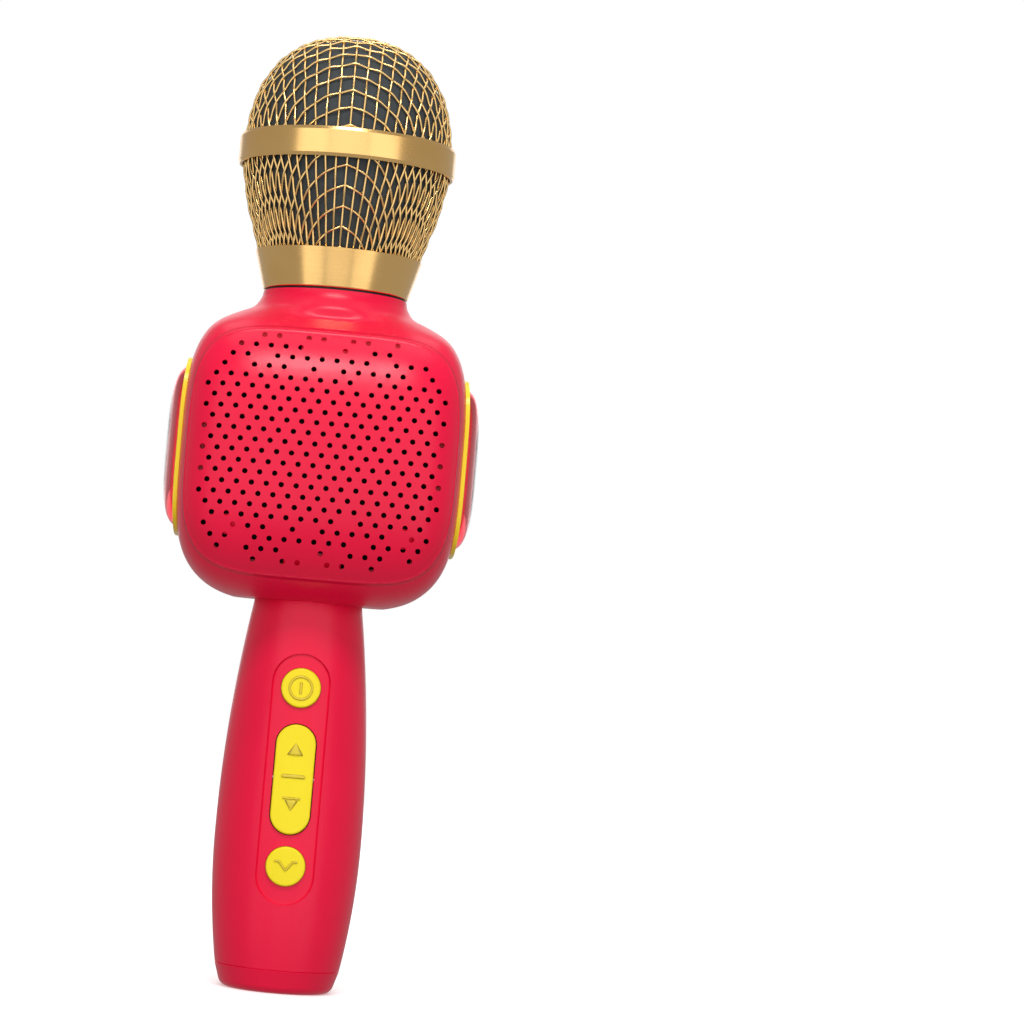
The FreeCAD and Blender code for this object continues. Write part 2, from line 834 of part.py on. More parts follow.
def make_key_board():
    """Board behind the buttons with four push switches; two plungers ride with the round buttons."""
    board = middle_box(
        "key_board",
        S.key_board_width,
        S.key_board_thickness,
        S.key_board_length,
        (0, -(S.key_board_face - S.key_board_thickness / 2), S.keys_height),
    )
    node("key_board", board)
    heights = {
        "power": POWER_HEIGHT,
        "mode": MODE_HEIGHT,
        "up": S.keys_height + S.rocker_reach,
        "down": S.keys_height - S.rocker_reach,
    }
    switches = []
    volume_plungers = []
    for name, height in heights.items():
        middle = (0, -(S.key_board_face + S.switch_height / 2), height)
        block = middle_box(f"{name}_switch_block", S.switch_width, S.switch_height, S.switch_width, middle)
        bore = cylinder(
            f"{name}_switch_bore",
            S.plunger_radius + S.seat_gap,
            S.plunger_room,
            (0, -(SWITCH_FACE - S.plunger_room), height),
            "-y",
        )
        switches.append(cut(f"{name}_switch", block, bore))
        free = S.volume_free_travel if name in ("up", "down") else 0
        plunger = cylinder(
            f"{name}_plunger",
            S.plunger_radius,
            S.plunger_sunk + S.plunger_rise - free,
            (0, -(SWITCH_FACE - S.plunger_sunk), height),
            "-y",
        )
        if name in ("up", "down"):
            volume_plungers.append(plunger)
        else:
            node(f"{name}_plunger", plunger)
    node("key_switches", group("key_switches", *switches))
    node("volume_plungers", group("volume_plungers", *volume_plungers))


# ---------------------------------------------------------------- battery


def make_battery():
    """Rechargeable cell, the cradle that holds it against the key board, and its end contacts."""
    cell_at = (0, S.battery_back, S.battery_foot)
    cell = cylinder("cell", S.battery_radius, S.battery_length, cell_at)
    node("battery", cell)
    front = S.key_board_face - S.key_board_thickness
    depth = front + S.battery_back
    blank = box(
        "cradle_blank",
        S.cradle_width,
        depth,
        S.battery_length,
        (-S.cradle_width / 2, -front, S.battery_foot),
    )
    room = cylinder("cradle_room", S.battery_radius + S.seat_gap, S.battery_length, cell_at)
    limit = handle_solid("cradle_limit", -S.handle_wall - S.running_gap)
    node("battery_cradle", cut("battery_cradle", common("cradle_trimmed", blank, limit), room))
    contacts = []
    for name, foot in (
        ("low", S.battery_foot - S.contact_thickness),
        ("high", S.battery_foot + S.battery_length),
    ):
        middle = (0, S.battery_back, foot + S.contact_thickness / 2)
        contacts.append(
            middle_box(f"contact_{name}", S.contact_width, S.contact_width, S.contact_thickness, middle)
        )
    node("battery_contacts", group("battery_contacts", *contacts))


# ---------------------------------------------------------------- speaker body


def smooth_step(value, low, high):
    """0 below low, 1 above high, with a soft change between."""
    share = min(max((value - low) / (high - low), 0.0), 1.0)
    return share * share * (3 - 2 * share)


def super_half(share, power):
    """Height of a unit superellipse at a share of its half length."""
    return max(1 - abs(share) ** power, 0.0) ** (1 / power)


def body_section(height, inset):
    """Half width, half depth and squareness of the speaker body at one height, moved inwards by inset."""
    rise = height - BODY_MID.value
    half_height = S.body_half_height.value - inset
    share = min(max(rise / half_height, -1.0), 1.0)
    side_power = SIDE_POWER_ABOVE if rise > 0 else SIDE_POWER_BELOW
    width = (S.body_half_width.value - inset) * super_half(share, FRONT_POWER)
    depth = (S.body_half_depth.value - inset) * super_half(share, side_power)
    top = BODY_MID.value + S.body_half_height.value
    flare_at = top - 0.6 * S.neck_flare_span.value
    flare = S.neck_flare.value * math.exp(-(((height - flare_at) / S.neck_flare_span.value) ** 2))
    neck = (S.neck_radius.value - inset + flare) * smooth_step(rise / S.body_half_height.value, 0.0, 0.6)
    roundness = smooth_step(rise / S.body_half_height.value, 0.78, 0.97)
    power = PLAN_POWER + (2.0 - PLAN_POWER) * roundness
    blend = NECK_BLEND_POWER
    half_width = (width ** blend + neck ** blend) ** (1 / blend)
    half_depth = (depth ** blend + neck ** blend) ** (1 / blend)
    return half_width, half_depth, power


def section_point(height, inset, angle):
    """Point of the front half skin, by height and by direction about the axis."""
    width, depth, power = body_section(height, inset)
    across = abs(math.cos(angle)) / width
    ahead = abs(math.sin(angle)) / depth
    reach = (across ** power + ahead ** power) ** (-1 / power)
    return Vector(reach * math.cos(angle), -reach * math.sin(angle), height)


def skin_heights(inset):
    """Heights of the skin's rows: close together where the body turns in, up to the neck's top."""
    rows = 30
    neck_rows = 12
    half_height = S.body_half_height.value
    foot = S.handle_end.value + inset
    first = math.asin((foot - BODY_MID.value) / half_height)
    last = math.asin(0.80)
    turns = [first + (last - first) * i / rows for i in range(rows + 1)]
    heights = [BODY_MID.value + half_height * math.sin(turn) for turn in turns]
    shoulder = heights[-1]
    top = NECK_TOP.value
    heights += [shoulder + (top - shoulder) * i / neck_rows for i in range(1, neck_rows + 1)]
    return heights


def front_half_skin(inset):
    """Closed front half (Y below 0) of the speaker body's shape, moved inwards by inset."""
    steps = 32
    rows = []
    for height in skin_heights(inset):
        row = [section_point(height, inset, math.pi * i / steps) for i in range(steps + 1)]
        row[0].y = 0.0
        row[-1].y = 0.0
        rows.append(row)
    surface = Part.BSplineSurface()
    surface.interpolate(rows)
    skin = surface.toShape()
    bounds = surface.bounds()
    low = surface.uIso(bounds[0]).toShape()
    high = surface.uIso(bounds[1]).toShape()
    right = surface.vIso(bounds[2]).toShape()
    left = surface.vIso(bounds[3]).toShape()
    low_line = Part.makeLine(rows[0][0], rows[0][-1])
    high_line = Part.makeLine(rows[-1][0], rows[-1][-1])
    faces = [
        skin,
        Part.Face(Part.Wire(Part.sortEdges([low, low_line])[0])),
        Part.Face(Part.Wire(Part.sortEdges([high, high_line])[0])),
        Part.Face(Part.Wire(Part.sortEdges([right, high_line, left, low_line])[0])),
    ]
    shell = Part.makeShell(faces)
    shell.sewShape()
    solid = Part.makeSolid(shell)
    if solid.Volume < 0:
        solid.reverse()
    return solid


def whole_skin(inset):
    """Both halves of the speaker body's shape as one solid."""
    front = front_half_skin(inset)
    return front.fuse(front.mirror(Vector(), Vector(0, 1, 0)))


def slab(low, high):
    """Wide block between two depths, for keeping part of a shape."""
    wide = 4 * S.body_half_width.value
    tall = 4 * S.body_half_height.value
    foot = Vector(-wide / 2, low, BODY_MID.value - tall / 2)
    return Part.makeBox(wide, high - low, tall, foot)


def window_wire(half_width, half_height, at, power=WINDOW_POWER):
    """Closed squarish round outline across X, at a distance from the axis."""
    steps = 48
    points = []
    for i in range(steps):
        angle = 2 * math.pi * i / steps
        across = abs(math.cos(angle)) / half_width
        up = abs(math.sin(angle)) / half_height
        reach = (across ** power + up ** power) ** (-1 / power)
        points.append(Vector(at, reach * math.cos(angle), BODY_MID.value + reach * math.sin(angle)))
    curve = Part.BSplineCurve()
    curve.interpolate(points, PeriodicFlag=True)
    return Part.Wire(curve.toShape())


def window_block(half_width, half_height, low, high):
    """Solid of the window outline between two distances from the axis."""
    face = Part.Face(window_wire(half_width, half_height, low))
    return face.extrude(Vector(high - low, 0, 0))


def hole_places():
    """Middle of each hole of a speaker panel: staggered rows, with gaps over the bosses and tabs."""
    rows = 22
    upper_gaps = {6: (5,), 7: (-12, -4, 0, 12), 8: (-9, 7), 9: (-2, 0, 4, 10, 12), 10: (-5, 1, 7)}
    lower_gaps = {6: (4,), 7: (-13, -5, -1, 11), 8: (-10, 6), 9: (-11, -3, -1, 3, 11)}
    lower_gaps[10] = (-10, -6, 0, 6, 10)
    half_pitch = S.hole_pitch.value / 2
    places = []
    for row in range(rows):
        down = row - (rows - 1) / 2
        level = int(abs(down) - 0.5)
        gaps = upper_gaps if down < 0 else lower_gaps
        lattice_row = row - rows // 2
        height = -down * S.hole_row_pitch.value
        widest = int(S.hole_field_half_width.value / half_pitch) + 1
        for column in range(-widest, widest + 1):
            if (column + lattice_row) % 2:
                continue
            across = column * half_pitch
            inside = (abs(across) / S.hole_field_half_width.value) ** PANEL_HOLE_POWER
            inside += (abs(height) / S.hole_field_half_height.value) ** PANEL_HOLE_POWER
            if inside <= 1 and column not in gaps.get(level, ()):
                places.append((across, BODY_MID.value + height))
    return places


def body_boss_places():
    return [(x * S.body_boss_side, z * S.body_boss_rise) for x in (-1, 1) for z in (-1, 1)]


def panel_shape(outer, inner):
    """Front speaker panel: perforated cap, snap tabs behind its edge and four screw bosses."""
    plane = S.panel_plane.value
    far = 2 * S.body_half_depth.value
    cap = outer.cut(inner).common(slab(-far, -plane - S.panel_seam.value))
    deep = S.body_half_depth.value
    tools = [
        Part.makeCylinder(S.hole_radius.value, deep, Vector(x, -plane + 5, z), Vector(0, -1, 0))
        for x, z in hole_places()
    ]
    cap = cap.cut(Part.makeCompound(tools))
    tab_inset = S.body_wall.value + S.running_gap.value
    tab_root = front_half_skin(S.body_wall.value / 2)
    tab_outside = front_half_skin(tab_inset)
    tab_inside = front_half_skin(tab_inset + S.panel_lip_wall.value)
    panel_edge = -plane - S.panel_seam.value
    root_reach = slab(panel_edge - S.body_wall.value, panel_edge)
    tab_reach = slab(panel_edge - S.body_wall.value, S.panel_lip_reach.value - plane)
    half_tab = S.panel_tab_width.value / 2
    tall = S.body_half_height.value * 2
    middle = BODY_MID.value
    upright = Part.makeBox(2 * half_tab, deep, tall, Vector(-half_tab, -deep, middle - tall / 2))
    level = Part.makeBox(tall, deep, 2 * half_tab, Vector(-tall / 2, -deep, middle - half_tab))
    roots = tab_root.cut(tab_inside).common(root_reach)
    tabs = tab_outside.cut(tab_inside).common(tab_reach).fuse(roots).common(upright.fuse(level))
    bosses = []
    for x, z in speaker_ear_places():
        at = Vector(x.value, -S.speaker_plane.value, middle + z.value)
        boss = Part.makeCylinder(S.speaker_boss_radius.value, deep, at, Vector(0, -1, 0))
        pilot = Part.makeCylinder(S.speaker_screw_radius.value, 3.0, at, Vector(0, -1, 0))
        bosses.append(boss.common(front_half_skin(S.body_wall.value / 2)).cut(pilot))
    pieces = tabs.Solids + bosses
    return cap.fuse(pieces)


def shell_shape(outer, inner, windows):
    """Front half of the body's case between the middle seam and the panel."""
    wall = outer.cut(inner).common(slab(-S.panel_plane.value, 0))
    spigot_hole = Part.makeCylinder(
        S.spigot_radius.value + S.running_gap.value,
        4 * S.body_wall.value,
        Vector(0, 0, S.handle_end.value - S.body_wall.value),
    )
    half_board = S.board_thickness.value / 2
    limit = front_half_skin(S.body_wall.value / 2)
    reach = S.body_boss_reach.value - half_board
    rib = S.body_rib_thickness.value
    bosses = []
    for x, z in body_boss_places():
        at = Vector(x.value, -half_board, BODY_MID.value + z.value)
        boss = Part.makeCylinder(S.body_boss_radius.value, reach, at, Vector(0, -1, 0))
        away = S.body_half_height.value - S.body_boss_rise.value
        foot = at.z if z.value > 0 else at.z - away
        web = Part.makeBox(rib, reach, away, Vector(at.x - rib / 2, -half_board - reach, foot))
        bosses.append(boss.fuse(web).common(limit))
    return wall.cut([spigot_hole] + windows).fuse(bosses)


def boss_drills(direction, length):
    """Screw holes through the four body bosses on one side of the board."""
    half_board = S.board_thickness.value / 2
    drills = []
    for x, z in body_boss_places():
        at = Vector(x.value, direction * half_board, BODY_MID.value + z.value)
        drills.append(Part.makeCylinder(S.screw_radius.value, length, at, Vector(0, direction, 0)))
    return drills


def make_body():
    """Front and rear case halves and the two speaker panels."""
    outer = front_half_skin(0.0)
    inner = front_half_skin(S.body_wall.value)
    hole_half_width = LENS_HALF_WIDTH.value + S.bezel_throat.value
    hole_half_height = LENS_HALF_HEIGHT.value + S.bezel_throat.value
    near = S.body_half_width.value - 3 * S.body_wall.value
    far = 2 * S.body_half_width.value
    windows = [
        window_block(hole_half_width, hole_half_height, near, far),
        window_block(hole_half_width, hole_half_height, -far, -near),
    ]
    half = shell_shape(outer, inner, windows)
    mirrored = half.mirror(Vector(), Vector(0, 1, 0))
    bite = S.screw_bite.value + S.board_thickness.value
    node("body_front_shell", feature("body_front_shell", half.cut(boss_drills(-1, bite))))
    through = S.body_half_depth.value
    seats = []
    for x, z in body_boss_places():
        at = Vector(x.value, S.body_boss_reach.value, BODY_MID.value + z.value)
        seats.append(Part.makeCylinder(S.screw_head_radius.value + 0.2, through, at, Vector(0, 1, 0)))
    node("body_rear_shell", feature("body_rear_shell", mirrored.cut(boss_drills(1, through) + seats)))
    panel = panel_shape(outer, inner)
    node("front_speaker_grille", feature("front_speaker_grille", panel))
    node("rear_speaker_grille", feature("rear_speaker_grille", panel.copy(), turn=HALF_TURN))


def make_body_screws():
    """Four screws from the rear bosses, through the main board, into the front bosses."""
    screws = []
    for i, (x, z) in enumerate(body_boss_places(), start=1):
        shank = S.body_boss_reach + S.screw_bite
        at = (x, S.body_boss_reach, BODY_MID + z)
        head = (S.screw_radius, S.screw_head_radius, S.screw_head_thickness)
        screws.append(recessed_screw(f"body_screw_{i}", at, "y", shank, *head))
    node("body_screws", group("body_screws", *screws))


# ---------------------------------------------------------------- side lights


def bezel_shape():
    """Curved frame that lies on the body's side, with a throat into the window."""
    proud = whole_skin(-S.bezel_proud.value)
    flush = whole_skin(0.0)
    inside = whole_skin(S.body_wall.value)
    far = 2 * S.body_half_width.value
    flange_block = window_block(S.bezel_half_width.value, S.bezel_half_height.value, 20, far)
    flange = proud.cut(flush).common(flange_block)
    grow = S.bezel_throat.value - S.seat_gap.value
    throat_block = window_block(LENS_HALF_WIDTH.value + grow, LENS_HALF_HEIGHT.value + grow, 20, far)
    throat = flush.cut(inside).common(throat_block)
    opening = window_block(LENS_HALF_WIDTH.value, LENS_HALF_HEIGHT.value, 0, far)
    return flange.fuse(throat).cut(opening).removeSplitter()


def dome_shape(half_width, half_height, foot, rise):
    """Squarish round dome from a flat foot."""
    wires = []
    steps = 14
    for i in range(steps + 1):
        angle = math.radians(88) * i / steps
        spread = math.cos(angle) ** (2 / LENS_POWER)
        height = math.sin(angle) ** (2 / LENS_POWER)
        wires.append(window_wire(half_width * spread, half_height * spread, foot + rise * height))
    return Part.makeLoft(wires, True, True)


def lens_shape():
    """Clear hollow dome that fills the bezel's opening."""
    foot = S.diffuser_face.value + S.seat_gap.value
    edge = S.seat_gap.value
    wall = S.lens_wall.value
    half_width = LENS_HALF_WIDTH.value - edge
    half_height = LENS_HALF_HEIGHT.value - edge
    outer = dome_shape(half_width, half_height, foot, S.lens_rise.value)
    inner = dome_shape(half_width - wall, half_height - wall, foot - 0.01, S.lens_rise.value - wall)
    return outer.cut(inner)


def stroke(points, widths):
    """Flat ribbon of changing width along a smooth line of points across X."""
    curve = Part.BSplineCurve()
    curve.interpolate([Vector(0, y, z) for y, z in points])
    steps = 10 * (len(points) - 1)
    marks = [curve.parameter(Vector(0, y, z)) for y, z in points]
    left = []
    right = []
    for i in range(steps + 1):
        section = min(i // 10, len(points) - 2)
        share = (i - 10 * section) / 10
        at = marks[section] + (marks[section + 1] - marks[section]) * share
        half = (widths[section] + (widths[section + 1] - widths[section]) * share) / 2
        along = curve.tangent(at)[0]
        aside = Vector(0, -along.z, along.y) * half
        middle = curve.value(at)
        left.append(middle + aside)
        right.append(middle - aside)
    return Part.Face(Part.makePolygon(left + right[::-1] + [left[0]]))


def clef_shape():
    """Raised treble clef: a spiral, a tall loop, a stem through both and a ball at its foot."""
    spiral_points = [(0.2, -8.5), (-3.4, -7.2), (-3.2, -2.6), (1.6, -0.9), (5.4, -5.4), (2.4, -9.6)]
    spiral_points.append((-1.6, -10.1))
    spiral_widths = [0.7, 1.5, 1.6, 2.0, 2.3, 1.7, 1.8]
    sweep_points = [(-1.6, -10.1), (-5.6, -7.6), (-5.9, -2.6), (-2.6, 2.6), (1.6, 6.6), (4.4, 10.4)]
    sweep_widths = [1.8, 2.4, 2.9, 3.0, 2.2, 2.0]
    loop_points = [(4.4, 10.4), (4.7, 13.8), (2.9, 16.3), (0.4, 13.6), (-0.3, 9.4), (0.1, 5.0)]
    loop_widths = [2.0, 1.5, 1.0, 1.7, 1.8, 1.2]
    stem_points = [(0.1, 5.0), (0.9, -2.6), (1.8, -9.6), (2.2, -13.8), (0.4, -16.6), (-2.6, -16.7)]
    stem_points.append((-4.4, -14.6))
    stem_widths = [1.2, 1.1, 1.2, 1.3, 1.2, 1.2, 1.6]
    ball = Part.makeCircle(2.2, Vector(0, -4.1, -13.7), Vector(1, 0, 0))
    flats = [
        stroke(spiral_points, spiral_widths),
        stroke(sweep_points, sweep_widths),
        stroke(loop_points, loop_widths),
        stroke(stem_points, stem_widths),
        Part.Face(Part.Wire(ball)),
    ]
    thick = Vector(S.clef_thickness.value, 0, 0)
    solids = [flat.extrude(thick) for flat in flats]
    return solids[0].fuse(solids[1:]).removeSplitter()


def diffuser_shape():
    """Flat light-spreading plate with four posts to its lamp board."""
    face = S.diffuser_face.value
    back = face - S.diffuser_thickness.value
    half_width = LENS_HALF_WIDTH.value - S.seat_gap.value
    half_height = LENS_HALF_HEIGHT.value - S.seat_gap.value
    plate = window_block(half_width, half_height, back, face)
    posts = []
    for y in (-1, 1):
        for z in (-1, 1):
            rise = BODY_MID.value + z * S.diffuser_post_rise.value
            at = Vector(S.light_board_face.value, y * S.diffuser_post_side.value, rise)
            length = back - S.light_board_face.value
            posts.append(Part.makeCylinder(S.diffuser_post_radius.value, length, at, Vector(1, 0, 0)))
    return plate.fuse(posts)


def make_lights():
    """Bezel, dome lens, clef, diffuser and lamp board of each side; the left is the right turned round."""
    shapes = {
        "light_bezel": bezel_shape(),
        "dome_lens": lens_shape(),
        "light_diffuser": diffuser_shape(),
    }
    emblem = clef_shape()
    for side, turn in (("right", None), ("left", HALF_TURN)):
        for name, shape in shapes.items():
            node(f"{side}_{name}", feature(f"{side}_{name}", shape.copy(), turn=turn))
        reach = S.diffuser_face.value * (1 if turn is None else -1)
        node(f"{side}_clef", feature(f"{side}_clef", emblem.copy(), (reach, 0, BODY_MID), turn))
        make_light_board(side, 1 if turn is None else -1)


def make_light_board(side, sign):
    """Small board with six lamps behind a diffuser."""
    middle = sign * (S.light_board_face - S.light_board_thickness / 2)
    board = middle_box(
        f"{side}_light_board",
        S.light_board_thickness,
        2 * S.light_board_half_width,
        2 * S.light_board_half_height,
        (middle, 0, BODY_MID),
    )
    node(f"{side}_light_board", board)
    lamps = []
    for y in (-1, 1):
        for z in (-1, 0, 1):
            lamps.append(
                middle_box(
                    f"{side}_lamp_{y + 2}_{z + 2}",
                    S.lamp_height,
                    S.lamp_width,
                    S.lamp_width,
                    (
                        sign * (S.light_board_face + S.lamp_height / 2),
                        y * S.light_board_half_width / 2,
                        BODY_MID + z * S.light_board_half_height * 0.6,
                    ),
                )
            )
    node(f"{side}_lamps", group(f"{side}_lamps", *lamps))


# ---------------------------------------------------------------- speakers and main board


def speaker_ear_places():
    return [(x * S.speaker_ear_side, z * S.speaker_ear_rise) for x in (-1, 1) for z in (-1, 1)]


def speaker_frame(name, at, facing, sign):
    """Stamped basket with a square ear plate; its depth runs from the panel into the body."""
    bore = S.speaker_radius - S.speaker_rim
    throat = S.magnet_radius + 1.4
    back = S.speaker_depth - S.magnet_thickness
    points = [
        (bore, 0),
        (S.speaker_radius, 0),
        (S.speaker_radius, S.speaker_plate),
        (bore + 1.1, S.speaker_plate),
        (throat, back - 1),
        (throat, back),
        (S.coil_radius - 1.4, back),
        (S.coil_radius - 1.4, back - S.speaker_plate),
        (throat - 1.2, back - S.speaker_plate),
        (bore, 1),
    ]
    basket = turned(f"{name}_basket", points, at=at, facing=facing)
    width = 2 * (S.speaker_ear_side + S.speaker_ear_radius)
    height = 2 * (S.speaker_ear_rise + S.speaker_ear_radius)
    plate_middle = (0, sign * (S.speaker_plane - S.speaker_plate / 2), BODY_MID)
    plate = middle_box(f"{name}_plate", width, S.speaker_plate, height, plate_middle)
    screw_hole = S.speaker_screw_radius
    tools = [cylinder(f"{name}_opening", bore + 0.6, S.speaker_plate, at, facing)]
    for i, (x, z) in enumerate(speaker_ear_places(), start=1):
        ear = (x, at[1], BODY_MID + z)
        tools.append(cylinder(f"{name}_ear_hole_{i}", screw_hole, S.speaker_plate, ear, facing))
    return fuse(name, cut(f"{name}_ears", plate, *tools), basket)


def make_speaker(side, facing, sign):
    """One speaker: frame, paper cone with its coil, and magnet with its pole, facing its panel."""
    at = (0, sign * S.speaker_plane, BODY_MID)
    node(f"{side}_speaker_frame", speaker_frame(f"{side}_speaker_frame", at, facing, sign))
    rim = S.speaker_radius - S.speaker_rim - 0.1
    coil = S.coil_radius
    back = S.speaker_depth - S.magnet_thickness
    cone = [
        (0, 3.6),
        (coil - 0.6, 5),
        (rim - 1.8, 0.1),
        (rim, 0.1),
        (rim, 0.7),
        (rim - 1.6, 0.7),
        (coil, 6.2),
        (coil, back - 1.6),
        (coil - 0.8, back - 1.6),
        (coil - 0.8, 5.7),
        (0, 4.2),
    ]
    node(f"{side}_speaker_cone", turned(f"{side}_speaker_cone", cone, at=at, facing=facing))
    pole = coil - 1.6
    magnet = [
        (0, 6),
        (pole, 6),
        (pole, back),
        (S.magnet_radius, back),
        (S.magnet_radius, S.speaker_depth),
        (0, S.speaker_depth),
    ]
    node(f"{side}_speaker_magnet", turned(f"{side}_speaker_magnet", magnet, at=at, facing=facing))


def make_speaker_screws():
    """Four screws a side, from inside, through each frame's ears into its panel."""
    screws = []
    for side, facing, sign in (("front", "y", -1), ("rear", "-y", 1)):
        for i, (x, z) in enumerate(speaker_ear_places(), start=1):
            at = (x, sign * (S.speaker_plane - S.speaker_plate), BODY_MID + z)
            sizes = (S.speaker_screw_length, S.speaker_screw_radius, S.speaker_boss_radius - 0.4, 1.2)
            screws.append(recessed_screw(f"{side}_speaker_screw_{i}", at, facing, *sizes))
    node("speaker_screws", group("speaker_screws", *screws))


def make_main_board():
    """Main board clamped between the body bosses, and the parts soldered to it."""
    blank = middle_box(
        "board_blank",
        2 * S.board_half_width,
        S.board_thickness,
        2 * S.board_half_height,
        (0, 0, BODY_MID),
    )
    drills = [
        cylinder(
            f"board_hole_{i}",
            S.screw_radius,
            S.board_thickness,
            (x, -S.board_thickness / 2, BODY_MID + z),
            "y",
        )
        for i, (x, z) in enumerate(body_boss_places(), start=1)
    ]
    limit = feature("board_limit", whole_skin(S.body_wall.value + S.running_gap.value))
    node("main_board", cut("main_board", common("board_trimmed", blank, limit), *drills))
    face = S.board_thickness / 2
    parts = {
        "sound_chip": (12, 2, 12, -10, 8),
        "radio_chip": (8, 1.6, 8, 12, 12),
        "amplifier_chip": (10, 2, 8, 8, -12),
        "memory_chip": (6, 1.4, 6, -12, -12),
    }
    pieces = []
    for name, (width, depth, height, x, z) in parts.items():
        middle = (x, face + depth / 2, BODY_MID + z)
        pieces.append(middle_box(name, as_size(width), as_size(depth), as_size(height), middle))
    for i in range(3):
        at = (S.magnet_radius + 4, face, BODY_MID - 8 + 8 * i)
        pieces.append(cylinder(f"capacitor_{i + 1}", as_size(2.5), as_size(5), at, "y"))
    node("board_components", group("board_components", *pieces))


# ---------------------------------------------------------------- head


def make_head_mount():
    """Ring trapped in the neck; its upper sleeve stands for the head's thread."""
    foot = NECK_TOP - S.mount_foot_drop
    sleeve = S.neck_radius - S.body_wall - S.seat_gap
    points = [
        (S.mount_bore_radius, foot),
        (S.mount_foot_radius, foot),
        (S.mount_foot_radius, foot + S.mount_foot_thickness),
        (sleeve, foot + S.mount_foot_thickness),
        (sleeve, NECK_TOP),
        (S.thread_radius, NECK_TOP),
        (S.thread_radius, NECK_TOP + S.thread_length),
        (S.mount_bore_radius, NECK_TOP + S.thread_length),
    ]
    node("head_mount_ring", turned("head_mount_ring", points))
    washer_foot = NECK_TOP + S.seat_gap
    washer_top = washer_foot + S.washer_thickness
    bore = S.thread_radius + S.running_gap
    rim = S.neck_radius - 0.3
    washer = [(bore, washer_foot), (rim, washer_foot), (rim, washer_top), (bore, washer_top)]
    node("slip_washer", turned("slip_washer", washer))


def make_capsule():
    """Holder in the mount ring, rubber boot on its stem, and the microphone capsule in the boot."""
    foot = NECK_TOP + S.holder_plate_rise
    plate_top = foot + S.holder_plate
    stem_top = plate_top + S.holder_stem_length
    rim = S.mount_bore_radius - S.seat_gap
    holder = [
        (S.holder_stem_bore, foot),
        (rim, foot),
        (rim, plate_top),
        (S.holder_stem_radius, plate_top),
        (S.holder_stem_radius, stem_top),
        (S.holder_stem_bore, stem_top),
    ]
    node("capsule_holder", turned("capsule_holder", holder))
    boot_foot = stem_top - S.boot_floor / 2
    boot_top = boot_foot + S.boot_length
    seat = boot_foot + S.boot_floor
    lead_hole = S.lead_radius + S.seat_gap
    boot = [
        (S.holder_stem_radius, boot_foot),
        (S.boot_radius, boot_foot),
        (S.boot_radius, boot_top),
        (S.capsule_radius, boot_top),
        (S.capsule_radius, seat),
        (lead_hole, seat),
        (lead_hole, stem_top),
        (S.holder_stem_radius, stem_top),
    ]
    node("capsule_boot", turned("capsule_boot", boot))
    node("mic_capsule", cylinder("mic_capsule", S.capsule_radius, S.capsule_length, (0, 0, seat)))
    return seat


def make_collar():
    """Tapered collar with a plain threaded bore and a lip around the foot of the wire basket."""
    bore = S.thread_radius + S.running_gap
    lip = S.collar_top_radius - S.collar_lip
    points = [
        (bore, COLLAR_FOOT),
        (S.collar_foot_radius, COLLAR_FOOT),
        (S.collar_top_radius, COLLAR_TOP),
        (lip, COLLAR_TOP),
        (lip - 0.3, BASKET_FOOT),
        (bore, BASKET_FOOT),
    ]
    collar = turned("collar_ring", points)

    def lower_rim(edge):
        box_ = edge.BoundBox
        level = abs(box_.ZMin - COLLAR_FOOT.value) < 0.01 and box_.ZLength < 0.01
        return level and box_.XLength > 2 * S.collar_foot_radius.value - 0.1

    round_edges(collar, S.collar_round, lower_rim)
    node("collar_ring", collar)


def profile_ring(name, outer_curve, inner_curve):
    """Ring or dome turned from two matching curves of (radius, height) points."""
    edges = []
    for points in (outer_curve, inner_curve):
        curve = Part.BSplineCurve()
        curve.interpolate([Vector(radius, 0, height) for radius, height in points])
        edges.append(curve.toShape())
    first = Part.makeLine(edges[0].firstVertex().Point, edges[1].firstVertex().Point)
    last = Part.makeLine(edges[0].lastVertex().Point, edges[1].lastVertex().Point)
    face = Part.Face(Part.Wire(Part.sortEdges([edges[0], last, edges[1], first])[0]))
    return feature(name, face.revolve(Vector(), Vector(0, 0, 1), 360))


def dome_profile(inset):
    """Upper half of the head from its widest ring to its top, moved inwards."""
    radius = S.ball_radius.value - inset
    height = S.ball_height.value - inset
    steps = 14
    points = []
    for i in range(steps + 1):
        angle = math.pi / 2 * i / steps
        out = math.cos(angle) ** (2 / DOME_POWER) if i < steps else 0.0
        points.append((radius * out, S.band_middle.value + height * math.sin(angle) ** (2 / DOME_POWER)))
    return points


def basket_profile(inset):
    """Lower part of the head from its foot in the collar to its widest ring, moved inwards."""
    lip = S.collar_top_radius - S.collar_lip - S.seat_gap
    taper = 0.36 * S.collar_lip_depth
    return [
        (lip.value - taper.value - inset, BASKET_FOOT.value),
        (lip.value - inset, COLLAR_TOP.value),
        (S.basket_waist_radius.value - inset, S.band_middle.value - S.basket_waist_drop.value),
        (S.ball_radius.value - inset, S.band_middle.value),
    ]


